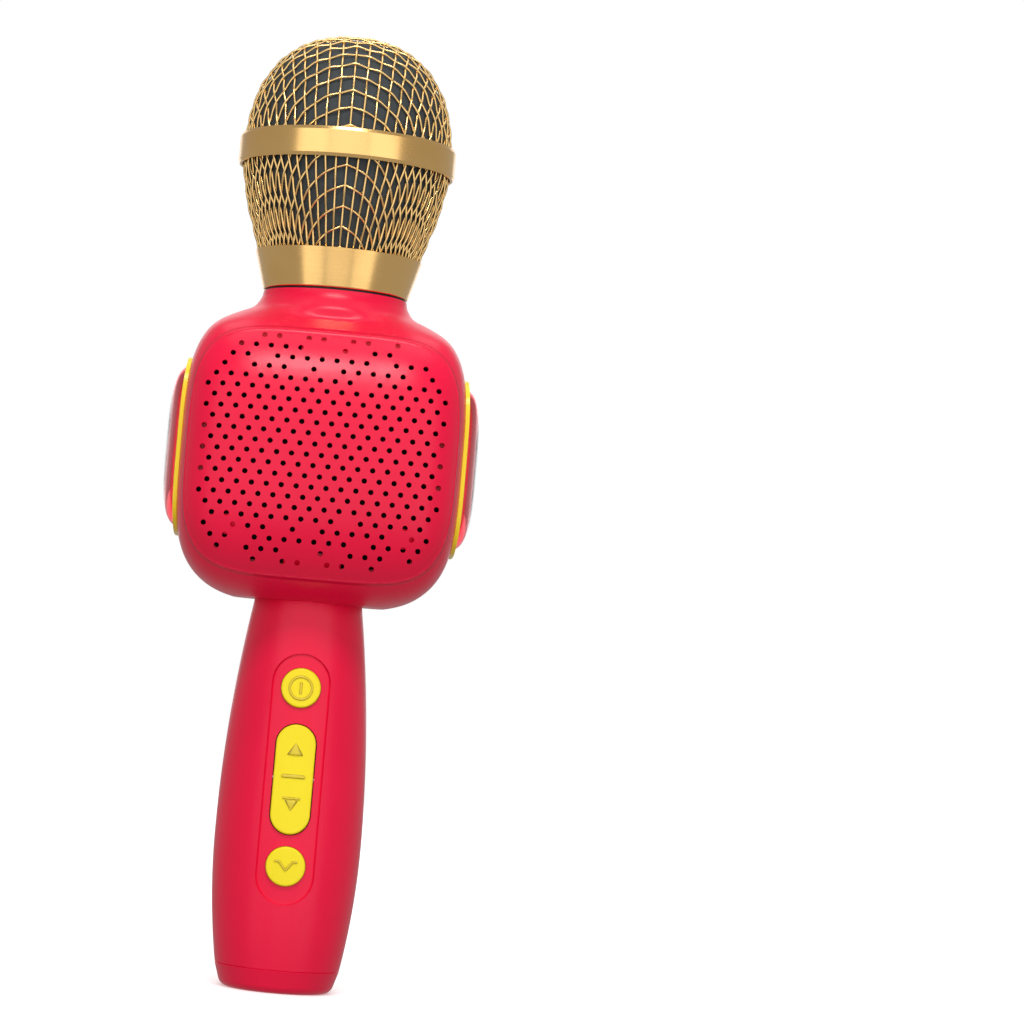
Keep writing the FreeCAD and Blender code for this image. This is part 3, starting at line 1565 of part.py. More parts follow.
def make_wire_head():
    """Wire basket, wire dome, the band that joins them, and the foam liner inside."""
    mesh = S.mesh_thickness.value
    node("lower_wire_basket", profile_ring("lower_wire_basket", basket_profile(0.0), basket_profile(mesh)))
    node("upper_wire_dome", profile_ring("upper_wire_dome", dome_profile(0.0), dome_profile(mesh)))
    low = S.band_middle - S.band_width / 2
    high = S.band_middle + S.band_width / 2
    crown = S.band_radius - 0.35
    inner = S.ball_radius + S.seat_gap
    band = [(inner, low), (crown, low), (S.band_radius, low + 0.8)]
    band += [(S.band_radius, high - 0.8), (crown, high), (inner, high)]
    node("centre_band", turned("centre_band", band))
    start = mesh + S.foam_gap.value
    foot = NECK_TOP.value + S.thread_length.value + 0.8
    thick = S.foam_thickness.value
    outer = foam_curve(start, start, foot)
    inside = foam_curve(start + S.foam_foot_thickness.value, start + thick, foot)
    node("foam_windscreen", profile_ring("foam_windscreen", outer, inside))


def foam_curve(foot_inset, inset, foot):
    """Outline of the foam liner: up the basket and over the dome, at changing insets."""
    low, _, waist, _ = basket_profile(0.0)
    share = (foot - low[1]) / (waist[1] - low[1])
    foot_radius = low[0] + (waist[0] - low[0]) * share
    points = [(foot_radius - foot_inset, foot), (waist[0] - inset, waist[1])]
    return points + dome_profile(inset)


# ---------------------------------------------------------------- leads


def make_leads(capsule_seat):
    """Insulated leads between the pieces, held inside the case along their whole length."""
    radius = S.lead_radius
    skim = S.board_thickness / 2 + radius + S.running_gap
    board_foot = BODY_MID - S.board_half_height
    board_top = BODY_MID + S.board_half_height
    clear = S.battery_foot + S.battery_length + S.contact_thickness
    side = S.battery_radius - 3.6
    battery = [
        (side, S.battery_back, clear),
        (side, S.battery_back, clear + 9),
        (side, skim, S.handle_end),
        (side, skim, board_foot + 5),
    ]
    node("battery_lead", feature("battery_lead", run_of_lead(battery, radius)))
    key_top = S.keys_height + S.key_board_length / 2
    key_plane = -S.key_board_face + S.key_board_thickness / 2
    keys = [
        (-side, key_plane, key_top),
        (-side, key_plane, key_top + 3),
        (-side, -skim - 2, S.handle_end + 2),
        (-side, -skim, board_foot + 1),
        (-side, -skim, board_foot + 8),
    ]
    node("key_lead", feature("key_lead", run_of_lead(keys, radius)))
    capsule = [
        (0, 0, capsule_seat),
        (0, 0, NECK_TOP),
        (0, -skim, board_top + 2),
        (0, -skim, board_top - 8),
    ]
    node("capsule_lead", feature("capsule_lead", run_of_lead(capsule, radius)))
    speaker_leads = []
    light_pins = []
    outside = S.speaker_radius - S.speaker_rim + 0.6
    for sign in (-1, 1):
        start = sign * (S.speaker_plane - S.speaker_plate - 4)
        run = [
            (0, start, BODY_MID - outside),
            (0, sign * (skim + 5), BODY_MID - outside),
            (0, sign * skim, BODY_MID - outside + 4),
            (0, sign * skim, BODY_MID - outside + 12),
        ]
        speaker_leads.append(feature(f"speaker_lead_{sign + 2}", run_of_lead(run, radius)))
        inner = S.light_board_face - S.light_board_thickness
        for rise in (-1, 1):
            pin_plane = S.board_thickness / 2 + S.light_pin_radius
            at = (sign * inner, pin_plane, BODY_MID + rise * S.light_pin_rise)
            name = f"light_pin_{sign + 2}_{rise + 2}"
            facing = "-x" if sign > 0 else "x"
            light_pins.append(cylinder(name, S.light_pin_radius, S.light_pin_length, at, facing))
    node("speaker_leads", group("speaker_leads", *speaker_leads))
    node("light_pins", group("light_pins", *light_pins))


# ---------------------------------------------------------------- build


def check_and_export():
    """Stop on any faulty feature or empty sub-part, then write one STEP file for each sub-part."""
    doc.recompute()
    for thing in doc.Objects:
        if "Invalid" in thing.State or "Error" in thing.State:
            raise ValueError(f"{thing.Label} did not compute: {thing.State}")
    for thing in exported:
        if thing.Shape.isNull() or not thing.Shape.isValid() or thing.Shape.Volume <= 0:
            raise ValueError(f"{thing.Label} has no valid solid")
    os.makedirs("parts", exist_ok=True)
    for thing in exported:
        thing.Shape.exportStep(os.path.join("parts", f"{thing.Label}.step"))
    print(f"{len(exported)} sub-parts written")


make_handle_front_shell()
make_handle_rear_shell()
make_bottom_cap()
make_charging()
make_handle_screws()
make_round_button("power_button", POWER_HEIGHT)
make_round_button("mode_button", MODE_HEIGHT)
make_volume_rocker()
make_key_board()
make_battery()
make_body()
make_body_screws()
make_lights()
make_speaker("front", "y", -1)
make_speaker("rear", "-y", 1)
make_speaker_screws()
make_main_board()
make_head_mount()
seat_height = make_capsule()
make_collar()
make_wire_head()
make_leads(seat_height)
check_and_export()
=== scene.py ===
"""Toy karaoke microphone: wire head, foam, side lights, black sheets of painted shade behind the grilles, key
marks and finishes on its frame.
"""

import logging
import math
from collections.abc import Callable, Iterable, Sequence
from dataclasses import dataclass, field
from enum import Enum

import bpy
import numpy as np
from mathutils import Matrix, Vector

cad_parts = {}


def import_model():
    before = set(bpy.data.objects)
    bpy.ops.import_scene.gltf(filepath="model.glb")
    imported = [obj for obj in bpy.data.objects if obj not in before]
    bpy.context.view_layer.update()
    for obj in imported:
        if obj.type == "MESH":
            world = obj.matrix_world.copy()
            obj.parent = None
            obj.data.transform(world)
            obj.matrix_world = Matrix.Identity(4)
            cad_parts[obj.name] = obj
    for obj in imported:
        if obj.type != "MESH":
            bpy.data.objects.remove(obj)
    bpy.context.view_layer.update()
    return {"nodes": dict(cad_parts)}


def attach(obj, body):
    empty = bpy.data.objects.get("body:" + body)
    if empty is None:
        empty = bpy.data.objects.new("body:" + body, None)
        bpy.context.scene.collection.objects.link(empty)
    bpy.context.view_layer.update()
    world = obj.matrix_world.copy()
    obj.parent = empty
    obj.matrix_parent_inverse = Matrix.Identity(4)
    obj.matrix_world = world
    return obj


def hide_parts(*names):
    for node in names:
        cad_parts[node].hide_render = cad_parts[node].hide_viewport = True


LOG = logging.getLogger("toy_microphone")
MM = 0.001
Colour = tuple[float, float, float]
Placer = Callable[[np.ndarray, np.ndarray, np.ndarray], np.ndarray]


# ---------------------------------------------------------------- shader writing


class Signal:
    """A shader socket that takes Python arithmetic, with one Math node for each operator."""

    def __init__(self, recipe: "Recipe", socket: bpy.types.NodeSocket) -> None:
        """Wrap one output socket of a recipe's tree."""
        self.recipe = recipe
        self.socket = socket

    def _math(self, operation: str, *values: "Signal | float") -> "Signal":
        """Add one Math node.

        Args:
            operation: The Math node's operation.
            values: What goes into its sockets, in order.

        Returns:
            The node's result.
        """
        made = self.recipe.node("ShaderNodeMath", {"operation": operation}, dict(enumerate(values)))
        return Signal(self.recipe, made.outputs[0])

    def __add__(self, other: "Signal | float") -> "Signal":
        """Sum."""
        return self._math("ADD", self, other)

    def __radd__(self, other: float) -> "Signal":
        """Sum, number first."""
        return self._math("ADD", other, self)

    def __sub__(self, other: "Signal | float") -> "Signal":
        """Difference."""
        return self._math("SUBTRACT", self, other)

    def __rsub__(self, other: float) -> "Signal":
        """Difference, number first."""
        return self._math("SUBTRACT", other, self)

    def __mul__(self, other: "Signal | float") -> "Signal":
        """Product."""
        return self._math("MULTIPLY", self, other)

    def __rmul__(self, other: float) -> "Signal":
        """Product, number first."""
        return self._math("MULTIPLY", other, self)

    def __pow__(self, other: float) -> "Signal":
        """Power."""
        return self._math("POWER", self, other)

    def size(self) -> "Signal":
        """Distance from zero."""
        return self._math("ABSOLUTE", self)

    def wave(self) -> "Signal":
        """Sine."""
        return self._math("SINE", self)

    def smaller(self, other: "Signal | float") -> "Signal":
        """The smaller of two values."""
        return self._math("MINIMUM", self, other)

    def step(self, low: float, high: float) -> "Signal":
        """Rise smoothly from 0 at one value to 1 at another.

        Args:
            low: The value that gives 0.
            high: The value that gives 1.

        Returns:
            The smooth step.
        """
        settings = {"interpolation_type": "SMOOTHSTEP"}
        sockets = {"Value": self, "From Min": low, "From Max": high}
        made = self.recipe.node("ShaderNodeMapRange", settings, sockets)
        return Signal(self.recipe, made.outputs["Result"])


class Recipe:
    """The node tree of one material."""

    def __init__(self, name: str) -> None:
        """Start an empty material."""
        self.material = bpy.data.materials.new(name)
        self.material.use_nodes = True
        self.tree = self.material.node_tree
        self.tree.nodes.clear()
        self.place = self.node("ShaderNodeTexCoord", {}, {}).outputs["Object"]

    def node(self, kind: str, settings: dict, sockets: dict) -> bpy.types.Node:
        """Add any node.

        Args:
            kind: The node's type.
            settings: Its properties, set first; "stops" holds a ramp's places and colours.
            sockets: Values or links of its inputs, by name or number.

        Returns:
            The node.
        """
        made = self.tree.nodes.new(kind)
        for name, value in settings.items():
            if name == "stops":
                ramp = made.color_ramp.elements
                while len(ramp) < len(value):
                    ramp.new(0.5)
                for element, (at, colour) in zip(ramp, value):
                    element.position = at
                    element.color = (*colour, 1.0)
            else:
                setattr(made, name, value)
        for name, value in sockets.items():
            if isinstance(value, Signal):
                self.tree.links.new(value.socket, made.inputs[name])
            elif isinstance(value, bpy.types.NodeSocket):
                self.tree.links.new(value, made.inputs[name])
            else:
                made.inputs[name].default_value = value
        return made

    def stretched(self, scale: Sequence[float]) -> bpy.types.NodeSocket:
        """The object's own coordinates, scaled apart on each axis."""
        return self.node("ShaderNodeMapping", {}, {"Vector": self.place, "Scale": tuple(scale)}).outputs[0]

    def axis(self, index: int) -> Signal:
        """One of the object's own coordinates, in metres."""
        made = self.node("ShaderNodeSeparateXYZ", {}, {0: self.place})
        return Signal(self, made.outputs[index])

    def noise(self, scale: float, detail: float = 2.0, stretch: Sequence[float] = (1, 1, 1)) -> Signal:
        """Cloudy noise from 0 to 1.

        Args:
            scale: Features in each metre.
            detail: Octaves of finer noise.
            stretch: Scale of each axis before the noise.

        Returns:
            The noise's strength.
        """
        where = self.stretched(stretch)
        sockets = {"Vector": where, "Scale": scale, "Detail": detail, "Roughness": 0.55}
        return Signal(self, self.node("ShaderNodeTexNoise", {}, sockets).outputs[0])

    def cells(self, scale: float, feature: str = "F1", stretch: Sequence[float] = (1, 1, 1)) -> Signal:
        """Distance to the nearest of scattered points.

        Args:
            scale: Cells in each metre.
            feature: Which distance the texture measures.
            stretch: Scale of each axis before the cells.

        Returns:
            The distance, in cells.
        """
        where = self.stretched(stretch)
        sockets = {"Vector": where, "Scale": scale}
        made = self.node("ShaderNodeTexVoronoi", {"feature": feature}, sockets)
        return Signal(self, made.outputs["Distance"])

    def attribute(self, name: str) -> Signal:
        """A number that the piece's mesh carries at each point."""
        return Signal(self, self.node("ShaderNodeAttribute", {"attribute_name": name}, {}).outputs["Fac"])

    def mix(
        self, share: Signal, first: "Colour | bpy.types.NodeSocket", second: Colour
    ) -> bpy.types.NodeSocket:
        """Mix two colours.

        Args:
            share: 0 for the first colour, 1 for the second.
            first: A colour or a colour socket.
            second: A colour.

        Returns:
            The mixed colour's socket.
        """
        start = first if isinstance(first, bpy.types.NodeSocket) else (*first, 1.0)
        sockets = {0: share, 6: start, 7: (*second, 1.0)}
        return self.node("ShaderNodeMix", {"data_type": "RGBA"}, sockets).outputs[2]

    def bump(self, height: Signal, depth: float) -> bpy.types.NodeSocket:
        """A normal that follows a height pattern.

        Args:
            height: The pattern, from 0 to 1.
            depth: Its depth in metres.

        Returns:
            The normal's socket.
        """
        sockets = {"Height": height, "Strength": 1.0, "Distance": depth}
        return self.node("ShaderNodeBump", {}, sockets).outputs[0]

    def surface(self, **sockets: object) -> bpy.types.Material:
        """Finish the material with one Principled shader.

        Args:
            sockets: Its inputs, with spaces written as underscores.

        Returns:
            The material.
        """
        named = {name.replace("_", " "): value for name, value in sockets.items()}
        shader = self.node("ShaderNodeBsdfPrincipled", {}, named)
        self.node("ShaderNodeOutputMaterial", {}, {"Surface": shader.outputs[0]})
        return self.material

    def inside(self, colour: Colour, density: float) -> None:
        """Tint the light that goes through the material, by its length of way inside.

        Args:
            colour: The colour that it leans to.
            density: Strength for each metre.
        """
        tint = self.node("ShaderNodeVolumeAbsorption", {}, {"Color": (*colour, 1.0), "Density": density})
        out = next(node for node in self.tree.nodes if node.bl_idname == "ShaderNodeOutputMaterial")
        self.tree.links.new(tint.outputs[0], out.inputs["Volume"])


# ---------------------------------------------------------------- finishes


@dataclass(frozen=True)
class MouldedPlastic:
    """Satin moulded plastic: a fine grain, faint flow clouds and small rubbed patches.

    Where fold_from is set, a soft ridge runs round it at that distance in front and behind.
    """

    name: str
    colour: Colour
    shade: Colour
    roughness: float = 0.34
    coat: float = 0.0
    grain: float = 0.000012
    grain_scale: float = 1900.0
    specular: float = 0.3
    fold_from: float = 0.0
    fold_width: float = 0.0009
    fold_depth: float = 0.0004

    def material(self) -> bpy.types.Material:
        """Build the material."""
        recipe = Recipe(self.name)
        clouds = recipe.noise(28.0, 3.0).step(0.35, 0.75)
        specks = recipe.noise(self.grain_scale, 2.0)
        scuffs = recipe.noise(420.0, 4.0, (1.0, 1.0, 0.12)).step(0.58, 0.72)
        rubbed = recipe.noise(65.0, 3.0).step(0.45, 0.7)
        colour = recipe.mix(clouds * 0.45 + specks * 0.12, self.colour, self.shade)
        roughness = self.roughness + rubbed * 0.05 + scuffs * 0.04 + specks * 0.03
        height = specks * 0.8 + scuffs * 0.08
        normal = recipe.bump(height, self.grain)
        if self.fold_from:
            aside = (recipe.axis(1).size() - self.fold_from) * (1.0 / self.fold_width)
            fold = 1.0 - aside.size().step(0.0, 1.0)
            normal = recipe.bump(fold + height * (self.grain / self.fold_depth), self.fold_depth)
        return recipe.surface(
            Base_Color=colour, Roughness=roughness, Normal=normal, Specular_IOR_Level=self.specular,
            Coat_Weight=self.coat, Coat_Roughness=0.18, IOR=1.49,
        )  # fmt: skip


@dataclass(frozen=True)
class PlatedGold:
    """Bright gold plating on a turned ring: fine lines round the ring and a warmer tone in its clouds."""

    name: str
    colour: Colour = (0.98, 0.62, 0.235)
    deep: Colour = (0.86, 0.47, 0.13)
    roughness: float = 0.17
    line_depth: float = 0.000004

    def material(self) -> bpy.types.Material:
        """Build the material."""
        recipe = Recipe(self.name)
        lines = recipe.noise(1.0, 3.0, (25.0, 25.0, 5200.0))
        clouds = recipe.noise(55.0, 3.0).step(0.4, 0.75)
        pits = recipe.noise(2600.0, 1.0).step(0.66, 0.8)
        colour = recipe.mix(clouds * 0.35 + lines * 0.2 + pits * 0.25, self.colour, self.deep)
        roughness = self.roughness + lines * 0.06 + clouds * 0.04 + pits * 0.12
        normal = recipe.bump(lines - pits * 0.4, self.line_depth)
        return recipe.surface(Base_Color=colour, Metallic=1.0, Roughness=roughness, Normal=normal)


@dataclass(frozen=True)
class GoldWire:
    """Drawn gold-coloured wire: drawing lines along it, and painted shade that darkens it where it dips under
    the next wire.
    """

    name: str
    colour: Colour = (1.0, 0.70, 0.31)
    # deep: mostly the painted shade colour where the wire lies under the next one, and a little of its dull
    # patches.
    deep: Colour = (0.78, 0.45, 0.13)
    roughness: float = 0.26

    def material(self) -> bpy.types.Material:
        """Build the material."""
        recipe = Recipe(self.name)
        # Painted shade: the colour leans to deep where the lie mark says the wire is under the next one.
        lie = recipe.attribute("lie").step(0.0, 0.75)
        lines = recipe.noise(1500.0, 2.0)
        dull = recipe.noise(160.0, 2.0).step(0.45, 0.7)
        colour = recipe.mix(0.85 - lie * 0.8 + dull * 0.1, self.colour, self.deep)
        roughness = self.roughness + dull * 0.08 + lines * 0.06
        normal = recipe.bump(lines, 0.000012)
        return recipe.surface(Base_Color=colour, Metallic=1.0, Roughness=roughness, Normal=normal)


@dataclass(frozen=True)
class OpenFoam:
    """Dark open-cell foam: small pores darkened with painted shade, and paler struts between them."""

    name: str
    colour: Colour = (0.012, 0.020, 0.026)
    strut: Colour = (0.085, 0.125, 0.150)

    def material(self) -> bpy.types.Material:
        """Build the material."""
        recipe = Recipe(self.name)
        pores = recipe.cells(1500.0)
        fine = recipe.noise(3200.0, 2.0)
        clouds = recipe.noise(120.0, 3.0).step(0.35, 0.7)
        # Painted shade: the pores keep the dark colour and the struts between them take the paler one.
        strut = (pores.step(0.35, 0.85) * 0.55 + fine.step(0.5, 0.75) * 0.6) * (0.55 + clouds * 0.45)
        colour = recipe.mix(strut.smaller(1.0), self.colour, self.strut)
        normal = recipe.bump(pores * 0.7 + fine * 0.5, 0.0003)
        return recipe.surface(Base_Color=colour, Roughness=0.96, Normal=normal, Specular_IOR_Level=0.25)


@dataclass(frozen=True)
class ClearDome:
    """Clear moulded dome with a faint ripple; its red skirt and the red tint inside it are a painted
    reflection of the pink body seen in its edge; the panel behind it shows.
    """

    name: str
    tint: Colour = (1.0, 0.975, 0.95)
    skirt: Colour = (0.98, 0.11, 0.15)
    painted_reflection_tint: Colour = (1.0, 0.10, 0.15)
    density: float = 110.0

    def material(self) -> bpy.types.Material:
        """Build the material."""
        recipe = Recipe(self.name)
        ripple = recipe.noise(90.0, 1.0)
        dust = recipe.noise(2400.0, 2.0).step(0.68, 0.85)
        normal = recipe.bump(ripple, 0.00003)
        # Painted reflection: outside the crown the dome takes the red skirt colour.
        crown = recipe.axis(0).size().step(0.0368, 0.0386)
        colour = recipe.mix(crown, self.skirt, self.tint)
        made = recipe.surface(
            Base_Color=colour, Roughness=0.03 + dust * 0.12, Normal=normal,
            Transmission_Weight=1.0, IOR=1.46,
        )  # fmt: skip
        # Painted reflection: a red tint inside that deepens with the length of way through the dome.
        recipe.inside(self.painted_reflection_tint, self.density)
        return made


@dataclass(frozen=True)
class LitPanel:
    """Yellow light-spreading panel with fine ribs and a painted glow: brighter in its middle, deeper to its
    rim, and giving off a faint light though the lamps behind it give none.
    """

    name: str
    centre_height: float
    colour: Colour = (0.95, 0.80, 0.13)
    pale: Colour = (1.0, 0.93, 0.42)

    def material(self) -> bpy.types.Material:
        """Build the material."""
        recipe = Recipe(self.name)
        across = recipe.axis(1) * (1.0 / 0.0165)
        rise = (recipe.axis(2) - self.centre_height) * (1.0 / 0.020)
        away = (across * across + rise * rise) ** 0.5
        clouds = recipe.noise(110.0, 3.0)
        ribs = (recipe.axis(1) * 5200.0).wave()
        # Painted glow: the pale colour pools in the panel's middle, over the lamps behind it.
        share = (1.0 - away.step(0.15, 1.05)) * 0.75 + clouds * 0.3
        colour = recipe.mix(share.smaller(1.0), self.colour, self.pale)
        normal = recipe.bump(ribs * 0.5 + clouds * 0.3, 0.000025)
        # Painted glow: the panel gives off its own colour as a faint light.
        return recipe.surface(
            Base_Color=colour, Roughness=0.42 + clouds * 0.1, Normal=normal,
            Emission_Color=colour, Emission_Strength=0.22,
        )  # fmt: skip


@dataclass(frozen=True)
class ReliefPaint:
    """Soft pink-red relief with painted shade that darkens it towards its edges."""

    name: str
    colour: Colour = (0.76, 0.060, 0.135)
    # edge: the painted shade colour at the relief's flanks.
    edge: Colour = (0.40, 0.010, 0.035)

    def material(self) -> bpy.types.Material:
        """Build the material."""
        recipe = Recipe(self.name)
        # Painted shade: the relief darkens across its flanks, where it meets the face under it.
        rim = recipe.attribute("rim").step(0.45, 1.0)
        specks = recipe.noise(2100.0, 2.0)
        clouds = recipe.noise(260.0, 3.0)
        colour = recipe.mix(rim * 0.75 + clouds * 0.18, self.colour, self.edge)
        normal = recipe.bump(specks, 0.00001)
        return recipe.surface(Base_Color=colour, Roughness=0.3 + clouds * 0.1, Normal=normal, Coat_Weight=0.2)


@dataclass(frozen=True)
class CircuitBoard:
    """Green solder mask with copper tracks under it and small plated holes."""

    name: str
    mask: Colour = (0.012, 0.13, 0.045)
    track: Colour = (0.045, 0.27, 0.085)
    plate: Colour = (0.72, 0.60, 0.32)

    def material(self) -> bpy.types.Material:
        """Build the material."""
        recipe = Recipe(self.name)
        tracks = 1.0 - recipe.cells(260.0, "DISTANCE_TO_EDGE", (1.0, 1.0, 0.35)).step(0.04, 0.09)
        holes = 1.0 - recipe.cells(330.0).step(0.10, 0.14)
        weave = recipe.noise(3000.0, 1.0)
        base = recipe.mix(tracks, self.mask, self.track)
        colour = recipe.mix(holes, base, self.plate)
        roughness = 0.38 - holes * 0.1 + weave * 0.05
        normal = recipe.bump(tracks * 0.6 + weave * 0.2 - holes * 0.4, 0.00004)
        return recipe.surface(Base_Color=colour, Roughness=roughness, Metallic=holes, Normal=normal)


@dataclass(frozen=True)
class BareMetal:
    """Plated or stamped metal with fine handling lines and dull spots."""

    name: str
    colour: Colour
    worn: Colour
    roughness: float = 0.3
    stretch: tuple[float, float, float] = (1.0, 1.0, 0.1)

    def material(self) -> bpy.types.Material:
        """Build the material."""
        recipe = Recipe(self.name)
        lines = recipe.noise(1600.0, 3.0, self.stretch)
        spots = recipe.noise(240.0, 3.0).step(0.5, 0.75)
        colour = recipe.mix(spots * 0.5 + lines * 0.25, self.colour, self.worn)
        roughness = self.roughness + spots * 0.15 + lines * 0.1
        normal = recipe.bump(lines, 0.000008)
        return recipe.surface(Base_Color=colour, Metallic=1.0, Roughness=roughness, Normal=normal)


@dataclass(frozen=True)
class PulpPaper:
    """Dark pressed paper pulp with fibres and shallow rings."""

    name: str
    axis_height: float
    colour: Colour = (0.018, 0.018, 0.019)
    fibre: Colour = (0.07, 0.066, 0.06)

    def material(self) -> bpy.types.Material:
        """Build the material."""
        recipe = Recipe(self.name)
        fibres = recipe.noise(900.0, 4.0, (1.0, 1.0, 0.3)).step(0.5, 0.75)
        across = recipe.axis(0)
        rise = recipe.axis(2) - self.axis_height
        away = (across * across + rise * rise) ** 0.5
        rings = (away * 4200.0).wave()
        colour = recipe.mix(fibres, self.colour, self.fibre)
        normal = recipe.bump(rings * 0.4 + fibres * 0.5, 0.00006)
        return recipe.surface(Base_Color=colour, Roughness=0.86 - fibres * 0.1, Normal=normal)


@dataclass(frozen=True)
class ShrinkSleeve:
    """Thin shrink sleeve on a cell: faint bands round it and small creases along it."""

    name: str
    colour: Colour = (0.02, 0.12, 0.30)
    pale: Colour = (0.05, 0.24, 0.48)

    def material(self) -> bpy.types.Material:
        """Build the material."""
        recipe = Recipe(self.name)
        bands = (recipe.axis(2) * 420.0).wave().step(0.9, 1.0)
        creases = recipe.noise(500.0, 3.0, (1.0, 1.0, 0.08))
        colour = recipe.mix(bands * 0.8 + creases * 0.15, self.colour, self.pale)
        normal = recipe.bump(creases, 0.00003)
        return recipe.surface(Base_Color=colour, Roughness=0.22 + creases * 0.15, Normal=normal)


@dataclass(frozen=True)
class ShadeCloth:
    """Black woven cloth that paints the shade inside the grille holes: crossed threads with fuzz between
    them.
    """

    name: str
    colour: Colour = (0.006, 0.006, 0.006)
    thread: Colour = (0.022, 0.021, 0.021)
    pitch: float = 0.0004

    def material(self) -> bpy.types.Material:
        """Build the material."""
        recipe = Recipe(self.name)
        turns = 2 * math.pi / self.pitch
        weave = (recipe.axis(0) * turns).wave() * (recipe.axis(2) * turns).wave()
        fuzz = recipe.noise(2800.0, 3.0)
        colour = recipe.mix(weave.step(-0.6, 0.9) * 0.6 + fuzz * 0.4, self.colour, self.thread)
        normal = recipe.bump(weave * 0.5 + fuzz * 0.5, 0.00006)
        return recipe.surface(Base_Color=colour, Roughness=0.95, Normal=normal, Specular_IOR_Level=0.1)


PINK = (0.86, 0.0035, 0.050)
DEEP_PINK = (0.74, 0.0025, 0.038)


class Finish(Enum):
    """The finishes of the microphone, by the piece of it that they belong to."""

    PINK_CASE = MouldedPlastic("pink_case", PINK, DEEP_PINK, 0.28)
    PINK_BODY = MouldedPlastic("pink_body", PINK, DEEP_PINK, 0.28, fold_from=0.0248)
    YELLOW_KEY = MouldedPlastic("yellow_key", (0.94, 0.76, 0.012), (0.86, 0.64, 0.006), 0.36)
    YELLOW_RING = MouldedPlastic("yellow_ring", (0.95, 0.79, 0.02), (0.88, 0.66, 0.01), 0.28, 0.1)
    # The key signs' second, dark colour is painted shade at their flanks.
    KEY_MARK = ReliefPaint("key_mark", (0.80, 0.60, 0.010), (0.24, 0.155, 0.002))
    SPEAKER_PAINT = MouldedPlastic("speaker_paint", (0.010, 0.010, 0.011), (0.018, 0.017, 0.017), 0.55)
    SHADE_CLOTH = ShadeCloth("shade_cloth")
    DARK_PLASTIC = MouldedPlastic("dark_plastic", (0.012, 0.012, 0.013), (0.02, 0.019, 0.018), 0.42)
    GREY_PLASTIC = MouldedPlastic("grey_plastic", (0.30, 0.30, 0.31), (0.24, 0.24, 0.25), 0.45)
    CHIP = MouldedPlastic(
        "chip_case", (0.016, 0.016, 0.018), (0.03, 0.03, 0.032), 0.5, grain=0.00002, grain_scale=4200.0
    )
    LAMP = MouldedPlastic("lamp_case", (0.88, 0.87, 0.80), (0.80, 0.76, 0.60), 0.3, 0.2)
    RUBBER = MouldedPlastic(
        "dark_rubber", (0.015, 0.015, 0.016), (0.03, 0.03, 0.03), 0.68, grain=0.00003, grain_scale=1300.0
    )
    LEAD = MouldedPlastic("lead_insulation", (0.42, 0.02, 0.02), (0.30, 0.012, 0.012), 0.4, 0.1)
    GOLD_RING = PlatedGold("gold_ring")
    GOLD_WIRE = GoldWire("gold_wire")
    FOAM = OpenFoam("dark_foam")
    DOME = ClearDome("clear_dome")
    PANEL = LitPanel("lit_panel", 0.1323)
    RELIEF = ReliefPaint("clef_relief")
    BOARD = CircuitBoard("circuit_board")
    STEEL = BareMetal("screw_steel", (0.62, 0.61, 0.60), (0.42, 0.41, 0.40))
    BRASS = BareMetal("contact_brass", (0.80, 0.60, 0.28), (0.62, 0.42, 0.16), 0.25)
    PAPER = PulpPaper("speaker_paper", 0.1323)
    SLEEVE = ShrinkSleeve("battery_sleeve")

    def material(self) -> bpy.types.Material:
        """The finish's material, made once."""
        return bpy.data.materials.get(self.value.name) or self.value.material()


# ---------------------------------------------------------------- surfaces


def grid_faces(rows: int, columns: int, closed_round: bool) -> np.ndarray:
    """Four-sided faces between the points of a grid, counted row by row.

    Args:
        rows: Rows of points.
        columns: Points in each row.
        closed_round: Whether the last column joins the first.

    Returns:
        One row of four point numbers for each face.
    """
    across = columns if closed_round else columns - 1
    row, column = np.meshgrid(np.arange(rows - 1), np.arange(across), indexing="ij")
    here = row * columns + column
    beside = row * columns + (column + 1) % columns
    return np.stack([here, beside, beside + columns, here + columns], axis=-1).reshape(-1, 4)


def capped_faces(rows: int, columns: int) -> list[list[int]]:
    """Faces of a closed tube: its rings joined round, and one flat face over each end.

    Args:
        rows: Rings of points.
        columns: Points in each ring.

    Returns:
        The point numbers of each face; the two ends come last.
    """
    last = (rows - 1) * columns
    faces = [list(face) for face in grid_faces(rows, columns, True)]
    return [*faces, list(range(columns))[::-1], [last + i for i in range(columns)]]


def angles_round(count: int) -> np.ndarray:
    """Even angles round a full turn, from 0."""
    return np.arange(count) * 2 * np.pi / count


def bulge(share: np.ndarray, power: "float | np.ndarray") -> np.ndarray:
    """Height h of the curve |s|^p + h^p = 1 at a share s of the way out, and 0 beyond its end."""
    return np.maximum(1 - np.abs(share) ** power, 0.0) ** (1 / power)


